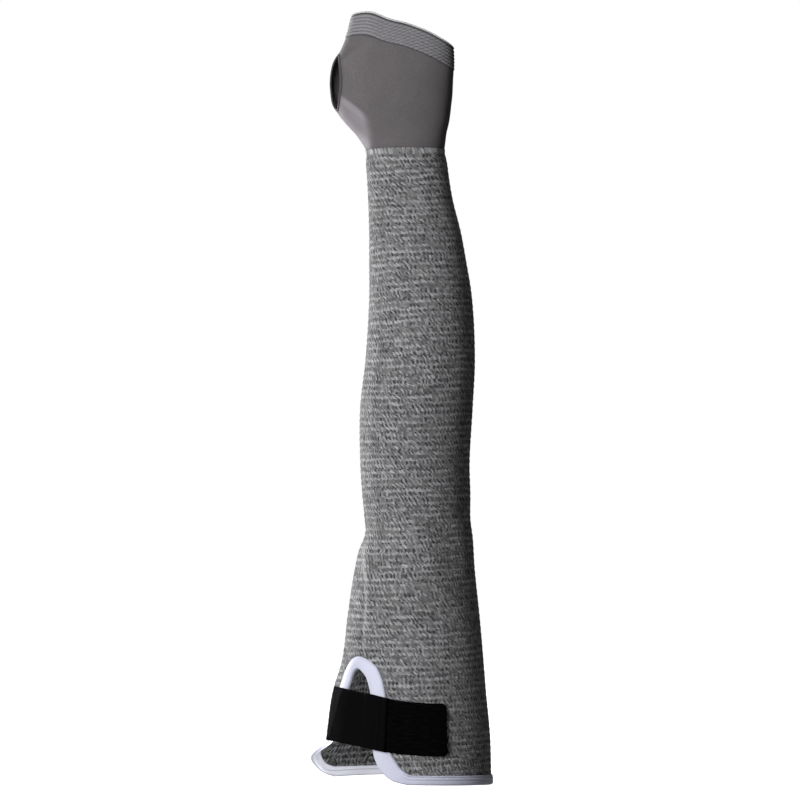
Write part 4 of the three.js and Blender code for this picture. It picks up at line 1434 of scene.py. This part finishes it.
def threadMaterial(name, color, roughness):
    # twisted thread with a little unevenness
    material, tree, shader = newMaterial(name, roughness, 0.1)
    dust = dustValue(tree, 0.003, 0.0002, 0.15)
    dress(tree, shader, shaded(tree, color, dust), dust, stitches["relief"])
    return material


def makeBindingStitches():
    distance = edge[:, 2] - stitches["fromEdge"]
    levels = []
    for i in range(edgeCount):
        flange = np.array(bindingSection(i)[1:16])
        levels.append(np.interp(distance[i], flange[::-1, 0], flange[::-1, 1]))
    around = np.append(np.arange(edgeCount), 0)
    azimuth, z = (part[around] for part in besideEdge(distance))
    places = clothPoint(azimuth, z, np.array(levels)[around] + 0.00005)
    thread = threadMaterial("binding_thread", binding["color"], 0.6)
    return sew("hem_binding_stitches", [(places, formNormal(azimuth, z))], thread)


def makeStrapStitches():
    across = np.linspace(-stitches["strapSpan"], stitches["strapSpan"], 40)
    seams = []
    for inset in stitches["strapRows"]:
        for azimuth in (webbingStart + inset / strapScale, webbingEnd - inset / strapScale):
            turns = np.full(len(across), azimuth)
            level = strap["webbingThickness"] + webbingLift(turns)
            places = strapPoint(turns, across, level)
            seams.append((places, formNormal(turns, places[:, 2])))
    return sew("strap_webbing_stitches", seams, threadMaterial("strap_thread", strap["grey"], 0.8))


armTubePiece = makeArmTube()
handPiece = makeHandTube()
cuffPiece = makeFingerCuff()
weltPiece = makeThumbWelt()
bindingPiece = makeHemBinding()
webbingPiece = makeStrapWebbing()
tabPiece = makeStrapTab()
bindingStitches = makeBindingStitches()
strapStitches = makeStrapStitches()
print("cloth pieces made")


# Camera, floor and light

view = {
    "centre": (-0.0029, 0.0, 0.2765),
    "distance": 3.3,
    "frameWidth": 0.582,  # width of the picture at the sleeve
    "sensor": 36.0,
    "floorDrop": 0.06,
    "floorRadius": 30.0,
    "ambient": 0.035,  # light from the world, and how much more of it the camera sees
    "backdrop": 0.97,
}


def makeCamera():
    data = bpy.data.cameras.new("camera")
    data.sensor_width = view["sensor"]
    data.lens = view["sensor"] * view["distance"] / view["frameWidth"]
    camera = placeObject("camera", data)
    camera.location = (view["centre"][0], -view["distance"], view["centre"][2])
    camera.rotation_euler = (math.pi / 2, 0, 0)
    bpy.context.scene.camera = camera


def areaLight(name, around, rise, distance, size, power, aim=(0, 0, view["centre"][2])):
    data = bpy.data.lights.new(name, "AREA")
    data.spread = math.pi
    data.shape = "RECTANGLE"
    data.size, data.size_y = size
    data.energy = power
    lamp = placeObject(name, data)
    turn, up = around * degree, rise * degree
    away = Vector((math.sin(turn) * math.cos(up), -math.cos(turn) * math.cos(up), math.sin(up)))
    lamp.location = Vector(aim) + away * distance
    lamp.rotation_euler = (-away).to_track_quat("-Z", "Y").to_euler()


def makeFloor():
    mesh = bpy.data.meshes.new("floor")
    z = solidBox[0][2] - view["floorDrop"]
    count, radius = 96, view["floorRadius"]
    turns = [k * 2 * math.pi / count for k in range(count)]
    rim = [(radius * math.cos(turn), radius * math.sin(turn), z) for turn in turns]
    mesh.from_pydata(rim, [], [list(range(count))])
    floor = placeObject("floor", mesh)
    material, tree, shader = newMaterial("floor_paper", 0.9, 0.1)
    shader.inputs["Base Color"].default_value = (0.22, 0.22, 0.22, 1)
    shader.inputs["Emission Color"].default_value = (1, 1, 1, 1)
    seen = addNode(tree, "ShaderNodeLightPath").outputs["Is Camera Ray"]
    tree.links.new(seen, shader.inputs["Emission Strength"])
    mesh.materials.append(material)


def makeWorld():
    world = bpy.data.worlds.new("studio")
    bpy.context.scene.world = world
    world.use_nodes = True
    tree = world.node_tree
    background = tree.nodes["Background"]
    background.inputs["Color"].default_value = (1, 1, 1, 1)
    seen = addNode(tree, "ShaderNodeLightPath").outputs["Is Camera Ray"]
    strength = add(tree, times(tree, seen, view["backdrop"]), view["ambient"])
    tree.links.new(strength, background.inputs["Strength"])


makeCamera()
makeFloor()
makeWorld()
areaLight("key", -36, 9, 2.4, (0.7, 1.3), 79, (0, 0, 0.46))
areaLight("left_rim", -140, 6, 2.2, (0.4, 1.3), 88)
areaLight("overhead", 0, 84, 1.9, (1.0, 1.0), 8)
areaLight("back_fill", 186, 24, 2.4, (1.4, 1.4), 42)
areaLight("mouth_fill", 10, 6, 0.050, (0.028, 0.014), 0.017, (-0.050, 0.026, 0.012))
areaLight("slit_fill", 0, 4, 0.058, (0.012, 0.012), 0.014, (-0.034, 0.038, 0.068))
bpy.context.scene.view_settings.view_transform = "Standard"
print("camera, floor and light placed")


# What each piece is

def finish(piece, node):
    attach(piece, "root")
    if node:
        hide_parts(node)


finish(armTubePiece, "arm_tube")
finish(handPiece, "hand_tube")
finish(cuffPiece, "finger_cuff")
finish(weltPiece, "thumb_welt")
finish(bindingPiece, "hem_binding")
finish(webbingPiece, "strap_webbing")
finish(tabPiece, "strap_tab")
finish(bindingStitches, "")
finish(strapStitches, "")
